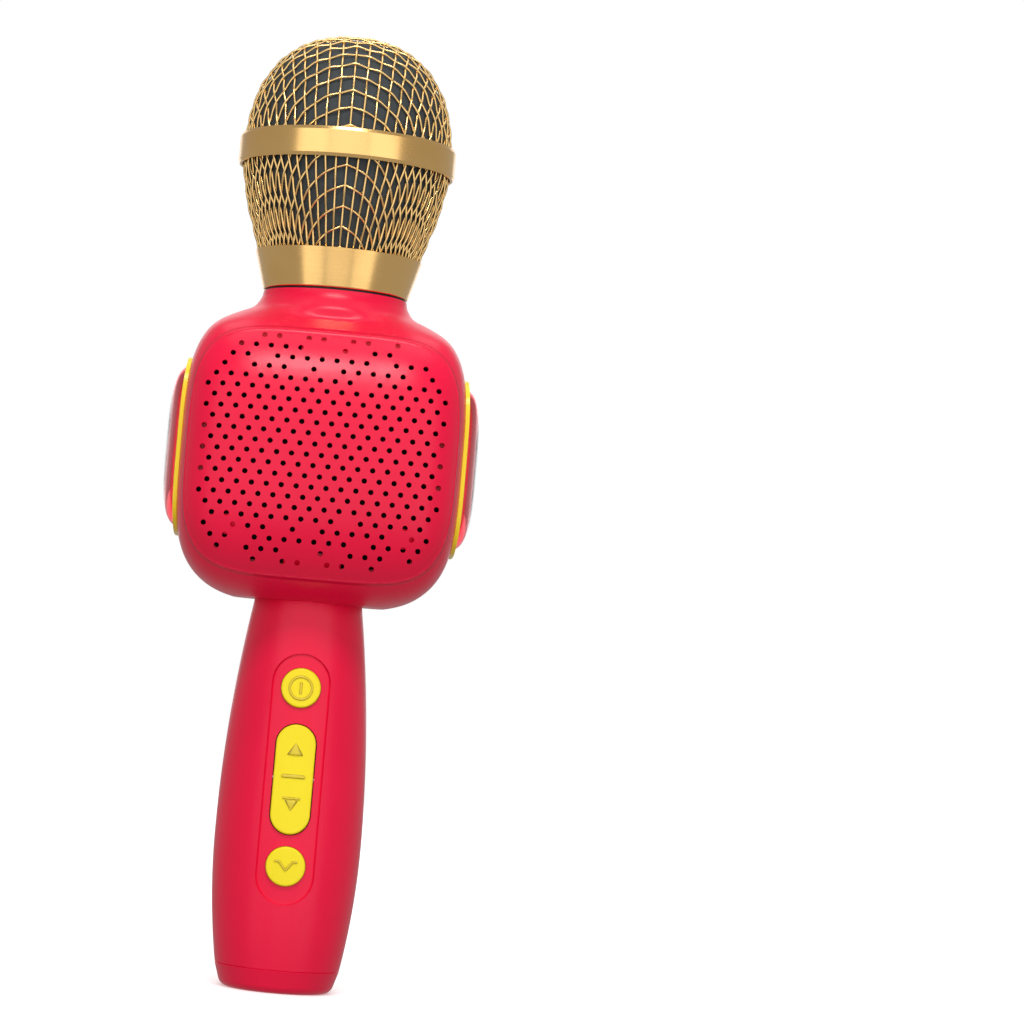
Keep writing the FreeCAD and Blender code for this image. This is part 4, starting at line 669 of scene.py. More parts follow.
@dataclass
class Shell:
    """Points and faces of a surface under way, with one number carried at each point."""

    points: np.ndarray
    faces: list[Sequence[int]]
    marks: np.ndarray

    @classmethod
    def joined(cls, shells: Iterable["Shell"]) -> "Shell":
        """One shell that holds several, each closed by itself."""
        points, faces, marks, start = [], [], [], 0
        for shell in shells:
            points.append(shell.points)
            marks.append(shell.marks)
            faces.extend([[start + i for i in face] for face in shell.faces])
            start += len(shell.points)
        return cls(np.concatenate(points), faces, np.concatenate(marks))

    def piece(self, name: str, finish: Finish, mark: str = "mark") -> bpy.types.Object:
        """Make the mesh object.

        Args:
            name: The piece's name.
            finish: Its finish.
            mark: Name of the number that each point carries.

        Returns:
            The object, at the origin.
        """
        mesh = bpy.data.meshes.new(name)
        mesh.from_pydata((self.points * MM).tolist(), [], [list(map(int, face)) for face in self.faces])
        mesh.attributes.new(mark, "FLOAT", "POINT").data.foreach_set("value", self.marks.astype(np.float32))
        mesh.polygons.foreach_set("use_smooth", np.ones(len(mesh.polygons), bool))
        mesh.materials.append(finish.material())
        mesh.update()
        made = bpy.data.objects.new(name, mesh)
        bpy.context.scene.collection.objects.link(made)
        return made


def smooth_line(points: Sequence[tuple[float, float]], steps: int) -> tuple[np.ndarray, np.ndarray]:
    """Natural cubic spline through points, by chord length.

    On each run the curve is the cubic whose second derivative goes straight from one end's to the next.

    Args:
        points: The points that it goes through.
        steps: Samples on each run.

    Returns:
        The curve's points, and the number of runs gone at each.
    """
    given = np.array(points, float)
    run = np.linalg.norm(np.diff(given, axis=0), axis=1)
    count = len(given)
    system = np.eye(count)
    pull = np.zeros_like(given)
    for i in range(1, count - 1):
        system[i, i - 1 : i + 2] = run[i - 1], 2 * (run[i - 1] + run[i]), run[i]
        pull[i] = 6 * ((given[i + 1] - given[i]) / run[i] - (given[i] - given[i - 1]) / run[i - 1])
    bend = np.linalg.solve(system, pull)
    gone = np.linspace(0, count - 1, steps * (count - 1) + 1)
    i = np.minimum(gone.astype(int), count - 2)
    h = run[i][:, None]
    t = (gone - i)[:, None] * h
    slope = (given[i + 1] - given[i]) / h - h * (2 * bend[i] + bend[i + 1]) / 6
    curve = given[i] + slope * t + bend[i] / 2 * t**2 + (bend[i + 1] - bend[i]) / (6 * h) * t**3
    return curve, gone


def straight_line(points: Sequence[tuple[float, float]], steps: int) -> tuple[np.ndarray, np.ndarray]:
    """Straight runs through points, sampled evenly on each run, as smooth_line gives its curve."""
    given = np.array(points, float)
    gone = np.linspace(0, len(given) - 1, steps * (len(given) - 1) + 1)
    at = np.arange(len(given))
    return np.stack([np.interp(gone, at, given[:, 0]), np.interp(gone, at, given[:, 1])], axis=1), gone


def closed_wall(outer: np.ndarray, inner: np.ndarray) -> Shell:
    """A closed wall round an axis: an outer skin, and an inner one that leads back over it.

    Args:
        outer: Grid of the outer skin's points, each row a ring.
        inner: Grid of the inner skin's points, row for row.

    Returns:
        The closed shell.
    """
    grid = np.concatenate([outer, inner[::-1]])
    faces = [face[::-1] for face in capped_faces(*grid.shape[:2])]
    points = grid.reshape(-1, 3)
    return Shell(points, faces, np.zeros(len(points)))


@dataclass
class Ribbon:
    """A raised stroke on a surface, round on top, along a line across and up that surface.

    At a share s across it, from -1 to 1, it stands rise times (1 - |s|^p)^(1/p) above the surface,
    and its half width shrinks to nothing round each end as a circle does.
    """

    line: np.ndarray
    half_widths: np.ndarray
    rise: float
    closed: bool = False
    sunk: float = 0.0
    power: float = 2.6
    around: int = 11

    def _rounded_ends(self) -> tuple[np.ndarray, np.ndarray]:
        """The line and its half widths with a round end added at each end."""
        angle = np.linspace(0.0, 1.0, 6)[:-1] * np.pi / 2
        ends, widths = [], []
        for at, inner, half in (
            (self.line[0], self.line[1], self.half_widths[0]),
            (self.line[-1], self.line[-2], self.half_widths[-1]),
        ):
            out = (at - inner) / np.linalg.norm(at - inner)
            ends.append(at + np.cos(angle)[:, None] * out * half)
            widths.append(np.maximum(np.sin(angle), 0.02) * half)
        line = np.concatenate([ends[0], self.line, ends[1][::-1]])
        return line, np.concatenate([widths[0], self.half_widths, widths[1][::-1]])

    def shell(self, placer: Placer) -> Shell:
        """Build the stroke on a surface.

        Args:
            placer: Turns places across and up the surface and heights above it into points.

        Returns:
            The stroke's closed shell; its marks go from 0 in its middle to 1 at its edge, where the relief
            finish paints shade.
        """
        line, half = (self.line, self.half_widths) if self.closed else self._rounded_ends()
        if self.closed:
            along = np.roll(line, -1, axis=0) - np.roll(line, 1, axis=0)
        else:
            along = np.gradient(line, axis=0)
        along = along / np.maximum(np.linalg.norm(along, axis=1, keepdims=True), 1e-9)
        aside = np.stack([-along[:, 1], along[:, 0]], axis=1)
        share = np.cos(np.linspace(0.0, np.pi, self.around))
        lift = bulge(share, self.power)
        share = np.concatenate([share, [-1.0, 1.0]])
        height = np.concatenate([lift * self.rise, [-self.sunk, -self.sunk]])
        thin = np.minimum(half / max(float(half.max()), 1e-9) * 1.6, 1.0)[:, None]
        flat = line[:, None, :] + aside[:, None, :] * (half[:, None] * share[None, :])[..., None]
        above = np.where(height[None, :] > 0, height[None, :] * thin, height[None, :])
        points = placer(flat[..., 0], flat[..., 1], above)
        rows, columns = above.shape
        faces = capped_faces(rows, columns)
        if self.closed:
            last = (rows - 1) * columns
            joint = [[last + i, last + (i + 1) % columns, (i + 1) % columns, i] for i in range(columns)]
            faces = [*faces[:-2], *joint]
        marks = np.broadcast_to(np.abs(share)[None, :], above.shape)
        return Shell(points.reshape(-1, 3), faces, marks.reshape(-1).copy())


# ---------------------------------------------------------------- wire head


@dataclass(frozen=True)
class HeadOutline:
    """Outline of the head: a squarish dome above its widest ring and a basket that narrows below it."""

    middle: float = 208.2
    radius: float = 26.15
    dome_height: float = 30.3
    dome_power: float = 2.35
    foot_height: float = 180.7
    basket: tuple[tuple[float, float], ...] = ((180.7, 19.486), (183.1, 20.35), (194.5, 24.1), (208.2, 26.15))

    def table(self) -> tuple[np.ndarray, np.ndarray, np.ndarray]:
        """Arc length from the top, radius and height along the outline.

        The dome is the curve (r/radius)^p + (rise/dome_height)^p = 1, and below the widest ring
        the radius is the cubic in height through the basket's four places.

        Returns:
            The three arrays, from the top down.
        """
        angle = np.linspace(np.pi / 2, 0, 240)
        share = 2 / self.dome_power
        dome_radius = self.radius * np.cos(angle).clip(0) ** share
        dome_rise = self.middle + self.dome_height * np.sin(angle) ** share
        heights = np.linspace(self.middle, self.foot_height, 120)[1:]
        places = np.array(self.basket)
        cubic = np.polyfit(places[:, 0] - self.middle, places[:, 1], 3)
        radius = np.concatenate([dome_radius, np.polyval(cubic, heights - self.middle)])
        height = np.concatenate([dome_rise, heights])
        arc = np.concatenate([[0.0], np.cumsum(np.hypot(np.diff(radius), np.diff(height)))])
        return arc, radius, height

    def place(self, arc: np.ndarray, azimuth: np.ndarray, out: np.ndarray) -> tuple[np.ndarray, np.ndarray]:
        """Points on the head, and the way out of it there.

        Args:
            arc: Length down the outline from the top.
            azimuth: Angle round the axis from the rear, towards the right.
            out: Distance outwards from the outline.

        Returns:
            The points and the outward directions.
        """
        arcs, radii, heights = self.table()
        slope_out = np.gradient(radii, arcs)
        slope_up = np.gradient(heights, arcs)
        flat = np.interp(arc, arcs, radii)
        rise = np.interp(arc, arcs, heights)
        facing_out = -np.interp(arc, arcs, slope_up)
        facing_up = np.interp(arc, arcs, slope_out)
        length = np.hypot(facing_out, facing_up)
        facing_out, facing_up = facing_out / length, facing_up / length
        way = np.stack([np.sin(azimuth) * facing_out, np.cos(azimuth) * facing_out, facing_up], axis=-1)
        foot = np.stack([np.sin(azimuth) * flat, np.cos(azimuth) * flat, rise], axis=-1)
        return foot + way * np.asarray(out)[..., None], way


@dataclass
class WovenHead:
    """Wire cloth drawn over the head's outline in two pieces, which meet inside the gold band.

    A place (u, v) in the cloth, in cells from its middle, lies on the level n where
    G(|u|/n) + G(|v|/n) = 1, with G(t) = 2/pi asin(t) + m t (1 - t), and m grows down the head as
    the cloth shears. Its azimuth is a quarter turn times G(|u|/n).
    """

    outline: HeadOutline = field(default_factory=HeadOutline)
    wire_radius: float = 0.29
    crimp: float = 0.24
    inset: float = 0.55
    cell: float = 3.5
    stretch: float = 1.6
    crest: float = 0.75
    sides: int = 6
    samples: int = 6
    foot_gap: float = 0.35
    crest_width: float = 0.8
    draw_start: float = 4.0
    draw_span: float = 10.0
    halvings: int = 40
    last_level: float = 22.0
    shortest: float = 0.3
    shear_levels: tuple[float, ...] = (0.0, 4.0, 8.0, 10.0, 11.5, 13.0, 17.0, 20.0)
    shear_shares: tuple[float, ...] = (0.0, 0.0, 0.083, 0.165, 0.217, 0.252, 0.309, 0.33)

    def shear(self, level: np.ndarray) -> np.ndarray:
        """How far the cloth has sheared at a level: m of the class's formula."""
        return np.interp(level, self.shear_levels, self.shear_shares)

    def turn_share(self, share: np.ndarray, level: np.ndarray) -> np.ndarray:
        """G of the class's formula, the share of a quarter turn."""
        share = np.clip(share, 0, 1)
        return 2 / np.pi * np.arcsin(share) + self.shear(level) * share * (1 - share)

    def level(self, u: np.ndarray, v: np.ndarray) -> np.ndarray:
        """The level n of places in the cloth, by halving the interval that holds it."""
        u, v = np.abs(u), np.abs(v)
        low = np.maximum(np.maximum(u, v), 1e-6)
        high = u + v + 1e-5
        for _ in range(self.halvings):
            middle = (low + high) / 2
            over = self.turn_share(u / middle, middle) + self.turn_share(v / middle, middle) > 1
            low = np.where(over, middle, low)
            high = np.where(over, high, middle)
        return (low + high) / 2

    def arc(self, level: np.ndarray) -> np.ndarray:
        """Arc length of a level: cell for each level, and stretch more for each as it is drawn down."""
        x = np.clip((level - self.draw_start) / self.draw_span, 0, 1)
        drawn = self.draw_span * (x**3 - x**4 / 2) + np.maximum(level - self.draw_start - self.draw_span, 0)
        return self.cell * level + self.stretch * drawn

    def level_of_arc(self, arc: float) -> float:
        """The level at an arc length."""
        levels = np.linspace(0, self.last_level, 2000)
        return float(np.interp(arc, self.arc(levels), levels))

    def reach(self, wire: float, level: float) -> float:
        """How far along a wire, in cells, a level is, or 0 where the wire lies outside it."""
        if abs(wire) >= level:
            return 0.0
        shares = np.linspace(0, 1, 4000)
        turns = self.turn_share(shares, np.full_like(shares, level))
        own = np.interp(abs(wire) / level, shares, turns)
        return float(np.interp(1 - own, turns, shares) * level)

    def strand(self, wire: int, start: float, end: float, rows_family: bool) -> Shell:
        """One stretch of wire as a closed tube.

        Args:
            wire: The wire's number in its family.
            start: Where the stretch starts along the wire, in cells.
            end: Where it ends.
            rows_family: Whether it's one of the wires that run across the front.

        Returns:
            The tube; its marks go from 0 where the wire is under to 1 where it is over, and set the wire's
            painted shade.
        """
        count = max(int(math.ceil((end - start) * self.samples)), 3) + 1
        along = np.linspace(start, end, count)
        fixed = np.full_like(along, float(wire))
        u, v = (along, fixed) if rows_family else (fixed, along)
        level = self.level(u, v)
        turn = self.turn_share(np.abs(u) / level, level) * np.pi / 2
        azimuth = np.where(v >= 0, turn, np.pi - turn) * np.where(u >= 0, 1.0, -1.0)
        crest = np.exp(-(np.abs(u) / self.crest_width)) + np.exp(-(np.abs(v) / self.crest_width))
        arc = np.maximum(self.arc(level) - self.crest * crest * np.clip(level / 4 - 0.5, 0, 1), 0.0)
        lift = np.cos(np.pi * along) * (-1.0) ** abs(wire) * (-1.0 if rows_family else 1.0)
        points, way = self.outline.place(arc, azimuth, self.crimp * lift - self.inset)
        tangent = np.gradient(points, axis=0)
        tangent /= np.linalg.norm(tangent, axis=1, keepdims=True)
        way = way - tangent * np.sum(way * tangent, axis=1, keepdims=True)
        way /= np.linalg.norm(way, axis=1, keepdims=True)
        side = np.cross(tangent, way)
        angle = angles_round(self.sides)
        ring = np.cos(angle)[None, :, None] * way[:, None] + np.sin(angle)[None, :, None] * side[:, None]
        tube = (points[:, None] + ring * self.wire_radius).reshape(-1, 3)
        return Shell(tube, capped_faces(count, self.sides), np.repeat((lift + 1) / 2, self.sides))

    def strands(self, upper: bool) -> list[Shell]:
        """Every stretch of wire above or below the band's middle."""
        arcs, _, heights = self.outline.table()
        band_level = self.level_of_arc(float(np.interp(-self.outline.middle, -heights, arcs)))
        foot = self.outline.foot_height + self.foot_gap
        end_level = self.level_of_arc(float(np.interp(-foot, -heights, arcs)))
        made = []
        for wire in range(-int(end_level), int(end_level) + 1):
            near, far = self.reach(wire, band_level), self.reach(wire, end_level)
            for rows_family in (False, True):
                if upper and near > self.shortest:
                    made.append(self.strand(wire, -near, near, rows_family))
                elif not upper and near > self.shortest:
                    made.append(self.strand(wire, -far, -near, rows_family))
                    made.append(self.strand(wire, near, far, rows_family))
                elif not upper and far > self.shortest:
                    made.append(self.strand(wire, -far, far, rows_family))
        return made

    def build(self) -> list[bpy.types.Object]:
        """Make the two weaves in place of the plain CAD ones."""
        made = []
        for name, node, upper in (
            ("upper_wire_weave", "upper_wire_dome", True),
            ("lower_wire_weave", "lower_wire_basket", False),
        ):
            piece = Shell.joined(self.strands(upper)).piece(name, Finish.GOLD_WIRE, "lie")
            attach(piece, "wire_head")
            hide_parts(node)
            made.append(piece)
        return made


@dataclass
class FoamLiner:
    """Foam liner behind the wire cloth, with a wall that thins to its foot.

    Its outer face is lowered a little by crossed waves, as soft foam is behind a wire cloth.
    """

    outline: HeadOutline = field(default_factory=HeadOutline)
    foot: float = 182.45
    clearance: float = 1.22
    depth: float = 6.8
    thinning: float = 3.6
    thin_from: float = 0.75
    dimple: float = 0.05
    waves: tuple[float, float, float, float] = (23, 1.9, 17, 1.1)
    top: float = 0.02
    rings: int = 96
    spokes: int = 144

    def shell(self) -> Shell:
        """The liner's closed shell: down its outer face and back up its inner one."""
        arcs, _, heights = self.outline.table()
        foot_arc = float(np.interp(-self.foot, -heights, arcs))
        down = np.linspace(self.top, foot_arc, self.rings)
        arc, azimuth = np.meshgrid(down, angles_round(self.spokes), indexing="ij")
        round_a, down_a, round_b, down_b = self.waves
        crossed = self.dimple * np.sin(round_a * azimuth) * np.sin(arc * down_a)
        slanted = self.dimple * np.sin(round_b * azimuth + arc * down_b)
        outer, _ = self.outline.place(arc, azimuth, crossed + slanted - self.clearance)
        lower = np.clip((arc / foot_arc - self.thin_from) / (1 - self.thin_from), 0, 1)
        inner, _ = self.outline.place(arc, azimuth, -(self.depth - self.thinning * lower))
        return closed_wall(outer, inner)

    def build(self) -> list[bpy.types.Object]:
        """Make the liner in place of the plain CAD one."""
        liner = self.shell().piece("foam_liner", Finish.FOAM)
        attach(liner, "wire_head")
        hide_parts("foam_windscreen")
        return [liner]


# ---------------------------------------------------------------- side lights


class Side(Enum):
    """The two sides that carry a light; the left is the right turned half round the axis."""

    RIGHT = 1.0
    LEFT = -1.0


@dataclass
class SideLight:
    """Clear dome over a raised clef on a lit panel."""

    side: Side
    middle: float = 132.3
    panel_face: float = 33.0
    half_width: float = 16.5
    half_height: float = 20.1
    outline_power: float = 4.2
    dome_rise: float = 5.75
    dome_power: float = 3.0
    dome_wall: float = 1.2
    dome_foot: float = 0.06
    top_gap: float = 0.004
    rings: int = 40
    spokes: int = 160
    relief_sides: int = 13
    relief_rise: float = 1.5

    @property
    def label(self) -> str:
        """The side's name in the CAD."""
        return self.side.name.lower()

    def on_panel(self, across: np.ndarray, up: np.ndarray, out: np.ndarray) -> np.ndarray:
        """Points over the panel's face, for a place on it seen from outside."""
        turn = self.side.value
        return np.stack([turn * (self.panel_face + out), turn * across, self.middle + up], axis=-1)

    def _dome_skin(self, rise: float, shrink: float) -> np.ndarray:
        """One skin of the dome.

        Its outline is |y/a|^p + |z/b|^p = 1, and at a share r of the way out it stands
        rise times (1 - r^q)^(1/q) over its foot.

        Args:
            rise: Height of the skin's middle.
            shrink: How far its outline is moved in.

        Returns:
            Grid of the skin's points, each row a ring.
        """
        share = np.sin(np.linspace(self.top_gap, np.pi / 2, self.rings))
        angle = angles_round(self.spokes)
        power = 2 / self.outline_power
        a, b = self.half_width - shrink, self.half_height - shrink
        y = a * np.sign(np.cos(angle)) * np.abs(np.cos(angle)) ** power
        z = b * np.sign(np.sin(angle)) * np.abs(np.sin(angle)) ** power
        out = self.dome_foot + rise * bulge(share, self.dome_power)
        height = np.repeat(out[:, None], len(angle), 1)
        return self.on_panel(share[:, None] * y[None, :], share[:, None] * z[None, :], height)

    def dome(self) -> Shell:
        """The dome as one closed wall: its outer skin, its rim and its inner skin."""
        outer = self._dome_skin(self.dome_rise, 0.0)
        inner = self._dome_skin(self.dome_rise - self.dome_wall, self.dome_wall)
        return closed_wall(outer, inner)

    def clef(self) -> Shell:
        """Raised treble clef: a spiral, a tall sweep and loop, a stem and a ball at its foot."""
        strokes = (
            (
                (
                    (0.2, -8.5), (-3.4, -7.2), (-3.2, -2.6), (1.6, -0.9), (5.4, -5.4), (2.4, -9.6),
                    (-1.6, -10.1),
                ),
                (0.7, 1.5, 1.6, 2.0, 2.3, 1.7, 1.8),
            ),
            (
                ((-1.6, -10.1), (-5.6, -7.6), (-5.9, -2.6), (-2.6, 2.6), (1.6, 6.6), (4.4, 10.4)),
                (1.8, 2.4, 2.9, 3.0, 2.2, 2.0),
            ),
            (
                ((4.4, 10.4), (4.7, 13.8), (2.9, 16.3), (0.4, 13.6), (-0.3, 9.4), (0.1, 5.0)),
                (2.0, 1.5, 1.0, 1.7, 1.8, 1.2),
            ),
            (
                (
                    (0.1, 5.0), (0.9, -2.6), (1.8, -9.6), (2.2, -13.8), (0.4, -16.6), (-2.6, -16.7),
                    (-4.4, -14.6),
                ),
                (1.2, 1.1, 1.2, 1.3, 1.2, 1.2, 1.6),
            ),
        )
        ribbons = []
        for points, widths in strokes:
            line, gone = smooth_line(points, 14)
            half = np.interp(gone, np.arange(len(widths)), widths) / 2
            ribbons.append(Ribbon(line, half, self.relief_rise, around=self.relief_sides))
        dot = np.array([[-4.1, -13.75], [-4.1, -13.7], [-4.1, -13.65]])
        ribbons.append(Ribbon(dot, np.full(3, 2.2), self.relief_rise, around=self.relief_sides))
        return Shell.joined(ribbon.shell(self.on_panel) for ribbon in ribbons)

    def build(self) -> list[bpy.types.Object]:
        """Make the dome and the clef."""
        lens = self.dome().piece(f"{self.label}_clear_dome", Finish.DOME)
        clef = self.clef().piece(f"{self.label}_clef_relief", Finish.RELIEF, "rim")
        for piece, node, slot in ((lens, "dome_lens", "clear_lens"), (clef, "clef", "pink_plastic")):
            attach(piece, "casing")
            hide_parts(f"{self.label}_{node}")
        return [lens, clef]


# ---------------------------------------------------------------- black sheets of painted shade behind the grilles


@dataclass
class GrilleShadeSheet:
    """Thin black cloth, a sheet of painted shade behind one speaker panel's holes, that follows the panel's
    curve.

    At a share s of the body's half height from its middle, its half width is a (1 - |s|^p)^(1/p) and its
    half depth b (1 - |s|^q)^(1/q); across the front the skin is |x/width|^n + |y/depth|^n = 1.
    """

    front: bool
    middle: float = 132.3
    half_size: tuple[float, float, float] = (35.0, 33.75, 37.0)
    insets: tuple[float, float] = (2.06, 2.36)
    reach: tuple[float, float] = (31.4, 31.0)
    edge_share: float = 0.965
    samples: int = 81
    powers: tuple[float, float, float, float] = (3.8, 2.6, 2.9, 4.65)

    def skin(self, inset: float) -> np.ndarray:
        """A grid of points of the panel's curve, moved in from the body's skin."""
        front_power, above, below, plan = self.powers
        share_across = np.linspace(-1, 1, self.samples)
        heights = np.linspace(-self.reach[1], self.reach[1], self.samples)
        across, rise = np.meshgrid(share_across, heights)
        share = np.abs(rise) / (self.half_size[2] - inset)
        side = np.where(rise > 0, above, below)
        width = (self.half_size[0] - inset) * bulge(share, front_power)
        depth = (self.half_size[1] - inset) * bulge(share, side)
        x = across * np.minimum(self.reach[0], self.edge_share * width)
        y = depth * bulge(x / width, plan)
        return np.stack([x, -y if self.front else y, self.middle + rise], axis=-1)

    def build(self) -> list[bpy.types.Object]:
        """Make the cloth as one closed sheet."""
        outer, inner = (self.skin(inset) for inset in self.insets)
        rows, columns = outer.shape[:2]
        face = grid_faces(rows, columns, False)
        over = face if self.front else face[:, ::-1]
        rim = np.concatenate([
            np.arange(columns), np.arange(2, rows) * columns - 1, rows * columns - 1 - np.arange(columns),
            np.arange(rows - 2, 0, -1) * columns,
        ])  # fmt: skip
        beside = np.roll(rim, -1)
        count = rows * columns
        edge = np.stack([rim, rim + count, beside + count, beside], axis=1)
        edge = edge if self.front else edge[:, ::-1]
        faces = [*over, *(over[:, ::-1] + count), *edge]
        points = np.concatenate([outer, inner]).reshape(-1, 3)
        name = "front_shade_cloth" if self.front else "rear_shade_cloth"
        cloth = Shell(points, faces, np.zeros(len(points))).piece(name, Finish.SHADE_CLOTH)
        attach(cloth, "casing")
        return [cloth]


# ---------------------------------------------------------------- key marks


@dataclass
class KeyMarks:
    """Raised signs on the three keys, which follow the round handle."""

    widest_radius: float = 18.25
    end_radius: float = 13.4
    foot_radius: float = 15.5
    widest_height: float = 37.0
    handle_end: float = 96.3
    handle_foot: float = 5.9
    proud: float = 0.4
    rise: float = 0.34
    sunk: float = 0.15
    tip: float = 0.05
    tip_step: float = 0.06
    ring_radius: float = 2.75
    ring_width: float = 0.6
    ring_points: int = 72
    power_height: float = 74.95
    mode_height: float = 31.4
    rocker_height: float = 52.6

    def face_radius(self, height: np.ndarray) -> np.ndarray:
        """Radius of the keys' faces: the handle's, which falls as a square from its widest, plus proud."""
        above = (self.widest_radius - self.end_radius) / (self.handle_end - self.widest_height) ** 2
        below = (self.widest_radius - self.foot_radius) / (self.widest_height - self.handle_foot) ** 2
        away = height - self.widest_height
        return self.widest_radius - np.where(away > 0, above, below) * away**2 + self.proud

    def on_key(self, height: float) -> Placer:
        """How places across and up a key at a height become points on its round face."""

        def placer(across: np.ndarray, up: np.ndarray, out: np.ndarray) -> np.ndarray:
            """Points on the key's face, moved out from it."""
            z = height + up
            depth = np.sqrt(np.maximum(self.face_radius(z) ** 2 - across**2, 0.0))
            return np.stack([across, -(depth + out), z], axis=-1)

        return placer

    def stroke(self, points: Sequence[tuple[float, float]], width: float, closed: bool = False) -> Ribbon:
        """One raised line through points.

        Args:
            points: The places that it goes through.
            width: Its width.
            closed: Whether it comes back to its start.

        Returns:
            The ribbon.
        """
        path = [*points, points[0]] if closed else list(points)
        line, _ = straight_line(path, 8)
        line = line[:-1] if closed else line
        return Ribbon(line, np.full(len(line), width / 2), self.rise, closed, sunk=self.sunk)

    def triangle(self, base: float, top: float, half_width: float) -> Ribbon:
        """One raised filled triangle: a stroke from its base to its top that narrows evenly."""
        up = np.concatenate([[base], np.linspace(base, top, 9)])
        up[1:] += np.sign(top - base) * self.tip_step
        half = np.concatenate([[self.tip], np.linspace(half_width, self.tip, 9)])
        return Ribbon(np.stack([np.zeros_like(up), up], axis=1), half, self.rise, sunk=self.sunk)

    def power_sign(self) -> list[Ribbon]:
        """A ring with an upright bar in it."""
        angle = angles_round(self.ring_points)
        ring = self.ring_radius * np.stack([np.cos(angle), np.sin(angle)], axis=1)
        half = np.full(len(angle), self.ring_width / 2)
        return [
            Ribbon(ring, half, self.rise, True, sunk=self.sunk),
            self.stroke([(0, -1.2), (0, 1.2)], 0.65),
        ]

    def mode_sign(self) -> list[Ribbon]:
        """An open chevron with its ends turned level."""
        return [self.stroke([(-2.6, 1.2), (-1.7, 1.2), (0, -0.9), (1.7, 1.2), (2.6, 1.2)], 0.55)]

    def volume_signs(self) -> list[Ribbon]:
        """A triangle up, a broad bar, and a narrow bar over a triangle down."""
        return [
            self.triangle(5.9, 8.9, 2.0),
            self.stroke([(-2.5, 0.75), (2.5, 0.75)], 0.9),
            self.stroke([(-1.9, -4.6), (1.9, -4.6)], 0.55),
            self.triangle(-5.1, -7.7, 1.6),
        ]

    def build(self) -> list[bpy.types.Object]:
        """Make each key's signs and set them on the key that moves."""
        made = []
        for name, signs, height, body in (
            ("power_key_sign", self.power_sign(), self.power_height, "power_key"),
            ("mode_key_sign", self.mode_sign(), self.mode_height, "mode_key"),
            ("volume_key_signs", self.volume_signs(), self.rocker_height, "volume_key"),
        ):
            placer = self.on_key(height)
            piece = Shell.joined(sign.shell(placer) for sign in signs).piece(name, Finish.KEY_MARK, "rim")
            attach(piece, body)
            made.append(piece)
        return made


# ---------------------------------------------------------------- frame


DRESS: dict[Finish, tuple[str, ...]] = {
    Finish.PINK_CASE: ("handle_front_shell", "handle_rear_shell", "bottom_cap"),
    Finish.PINK_BODY: ("body_front_shell", "body_rear_shell", "front_speaker_grille", "rear_speaker_grille"),
    Finish.YELLOW_KEY: ("power_button", "mode_button", "volume_rocker"),
    Finish.YELLOW_RING: ("right_light_bezel", "left_light_bezel"),
    Finish.PANEL: ("right_light_diffuser", "left_light_diffuser"),
    Finish.GOLD_RING: ("collar_ring", "centre_band"),
    Finish.BOARD: ("charge_board", "key_board", "main_board", "right_light_board", "left_light_board"),
    Finish.STEEL: (
        "handle_screws", "body_screws", "speaker_screws", "rocker_pin", "charging_socket", "mic_capsule",
        "light_pins",
    ),
    Finish.SPEAKER_PAINT: (
        "front_speaker_frame", "rear_speaker_frame", "front_speaker_magnet", "rear_speaker_magnet",
    ),
    Finish.DARK_PLASTIC: (
        "key_switches", "battery_cradle", "capsule_holder", "head_mount_ring", "slip_washer",
    ),
    Finish.GREY_PLASTIC: ("power_plunger", "mode_plunger", "volume_plungers"),
    Finish.LEAD: ("battery_lead", "key_lead", "capsule_lead", "speaker_leads"),
    Finish.RUBBER: ("capsule_boot",),
    Finish.CHIP: ("board_components",),
    Finish.LAMP: ("right_lamps", "left_lamps"),
    Finish.PAPER: ("front_speaker_cone", "rear_speaker_cone"),
    Finish.SLEEVE: ("battery",),
    Finish.BRASS: ("battery_contacts",),
    Finish.RELIEF: ("right_clef", "left_clef"),
    Finish.DOME: ("right_dome_lens", "left_dome_lens"),
    Finish.GOLD_WIRE: ("upper_wire_dome", "lower_wire_basket"),
    Finish.FOAM: ("foam_windscreen",),
}  # fmt: skip


def dress_frame(nodes: dict[str, bpy.types.Object]) -> None:
    """Give each CAD node its finish.

    Args:
        nodes: The CAD nodes by name.
    """
    for finish, names in DRESS.items():
        for name in names:
            shown = nodes[name]
            if not shown.material_slots:
                shown.data.materials.append(None)
            for slot in shown.material_slots:
                slot.material = finish.material()
    left = sorted(set(nodes) - {name for names in DRESS.values() for name in names})
    LOG.info("nodes without a finish: %s", left or "none")


# ---------------------------------------------------------------- studio


@dataclass
class Softbox:
    """A broad soft light that faces the microphone's middle; the camera doesn't see it."""

    name: str
    azimuth: float
    height: float
    distance: float
    width: float
    tall: float
    glow: float
    colour: Colour = (1.0, 1.0, 1.0)

    def build(self, target: Vector) -> None:
        """Hang the light.

        Args:
            target: The point that it faces.
        """
        light = bpy.data.lights.new(self.name, "AREA")
        light.shape = "RECTANGLE"
        light.size = self.width
        light.size_y = self.tall
        light.energy = self.glow * math.pi * self.width * self.tall
        light.color = self.colour
        lamp = bpy.data.objects.new(self.name, light)
        turn = math.radians(self.azimuth)
        lamp.location = (self.distance * math.sin(turn), -self.distance * math.cos(turn), self.height)
        lamp.rotation_euler = (target - lamp.location).to_track_quat("-Z", "Y").to_euler()
        lamp.visible_camera = False
        bpy.context.scene.collection.objects.link(lamp)


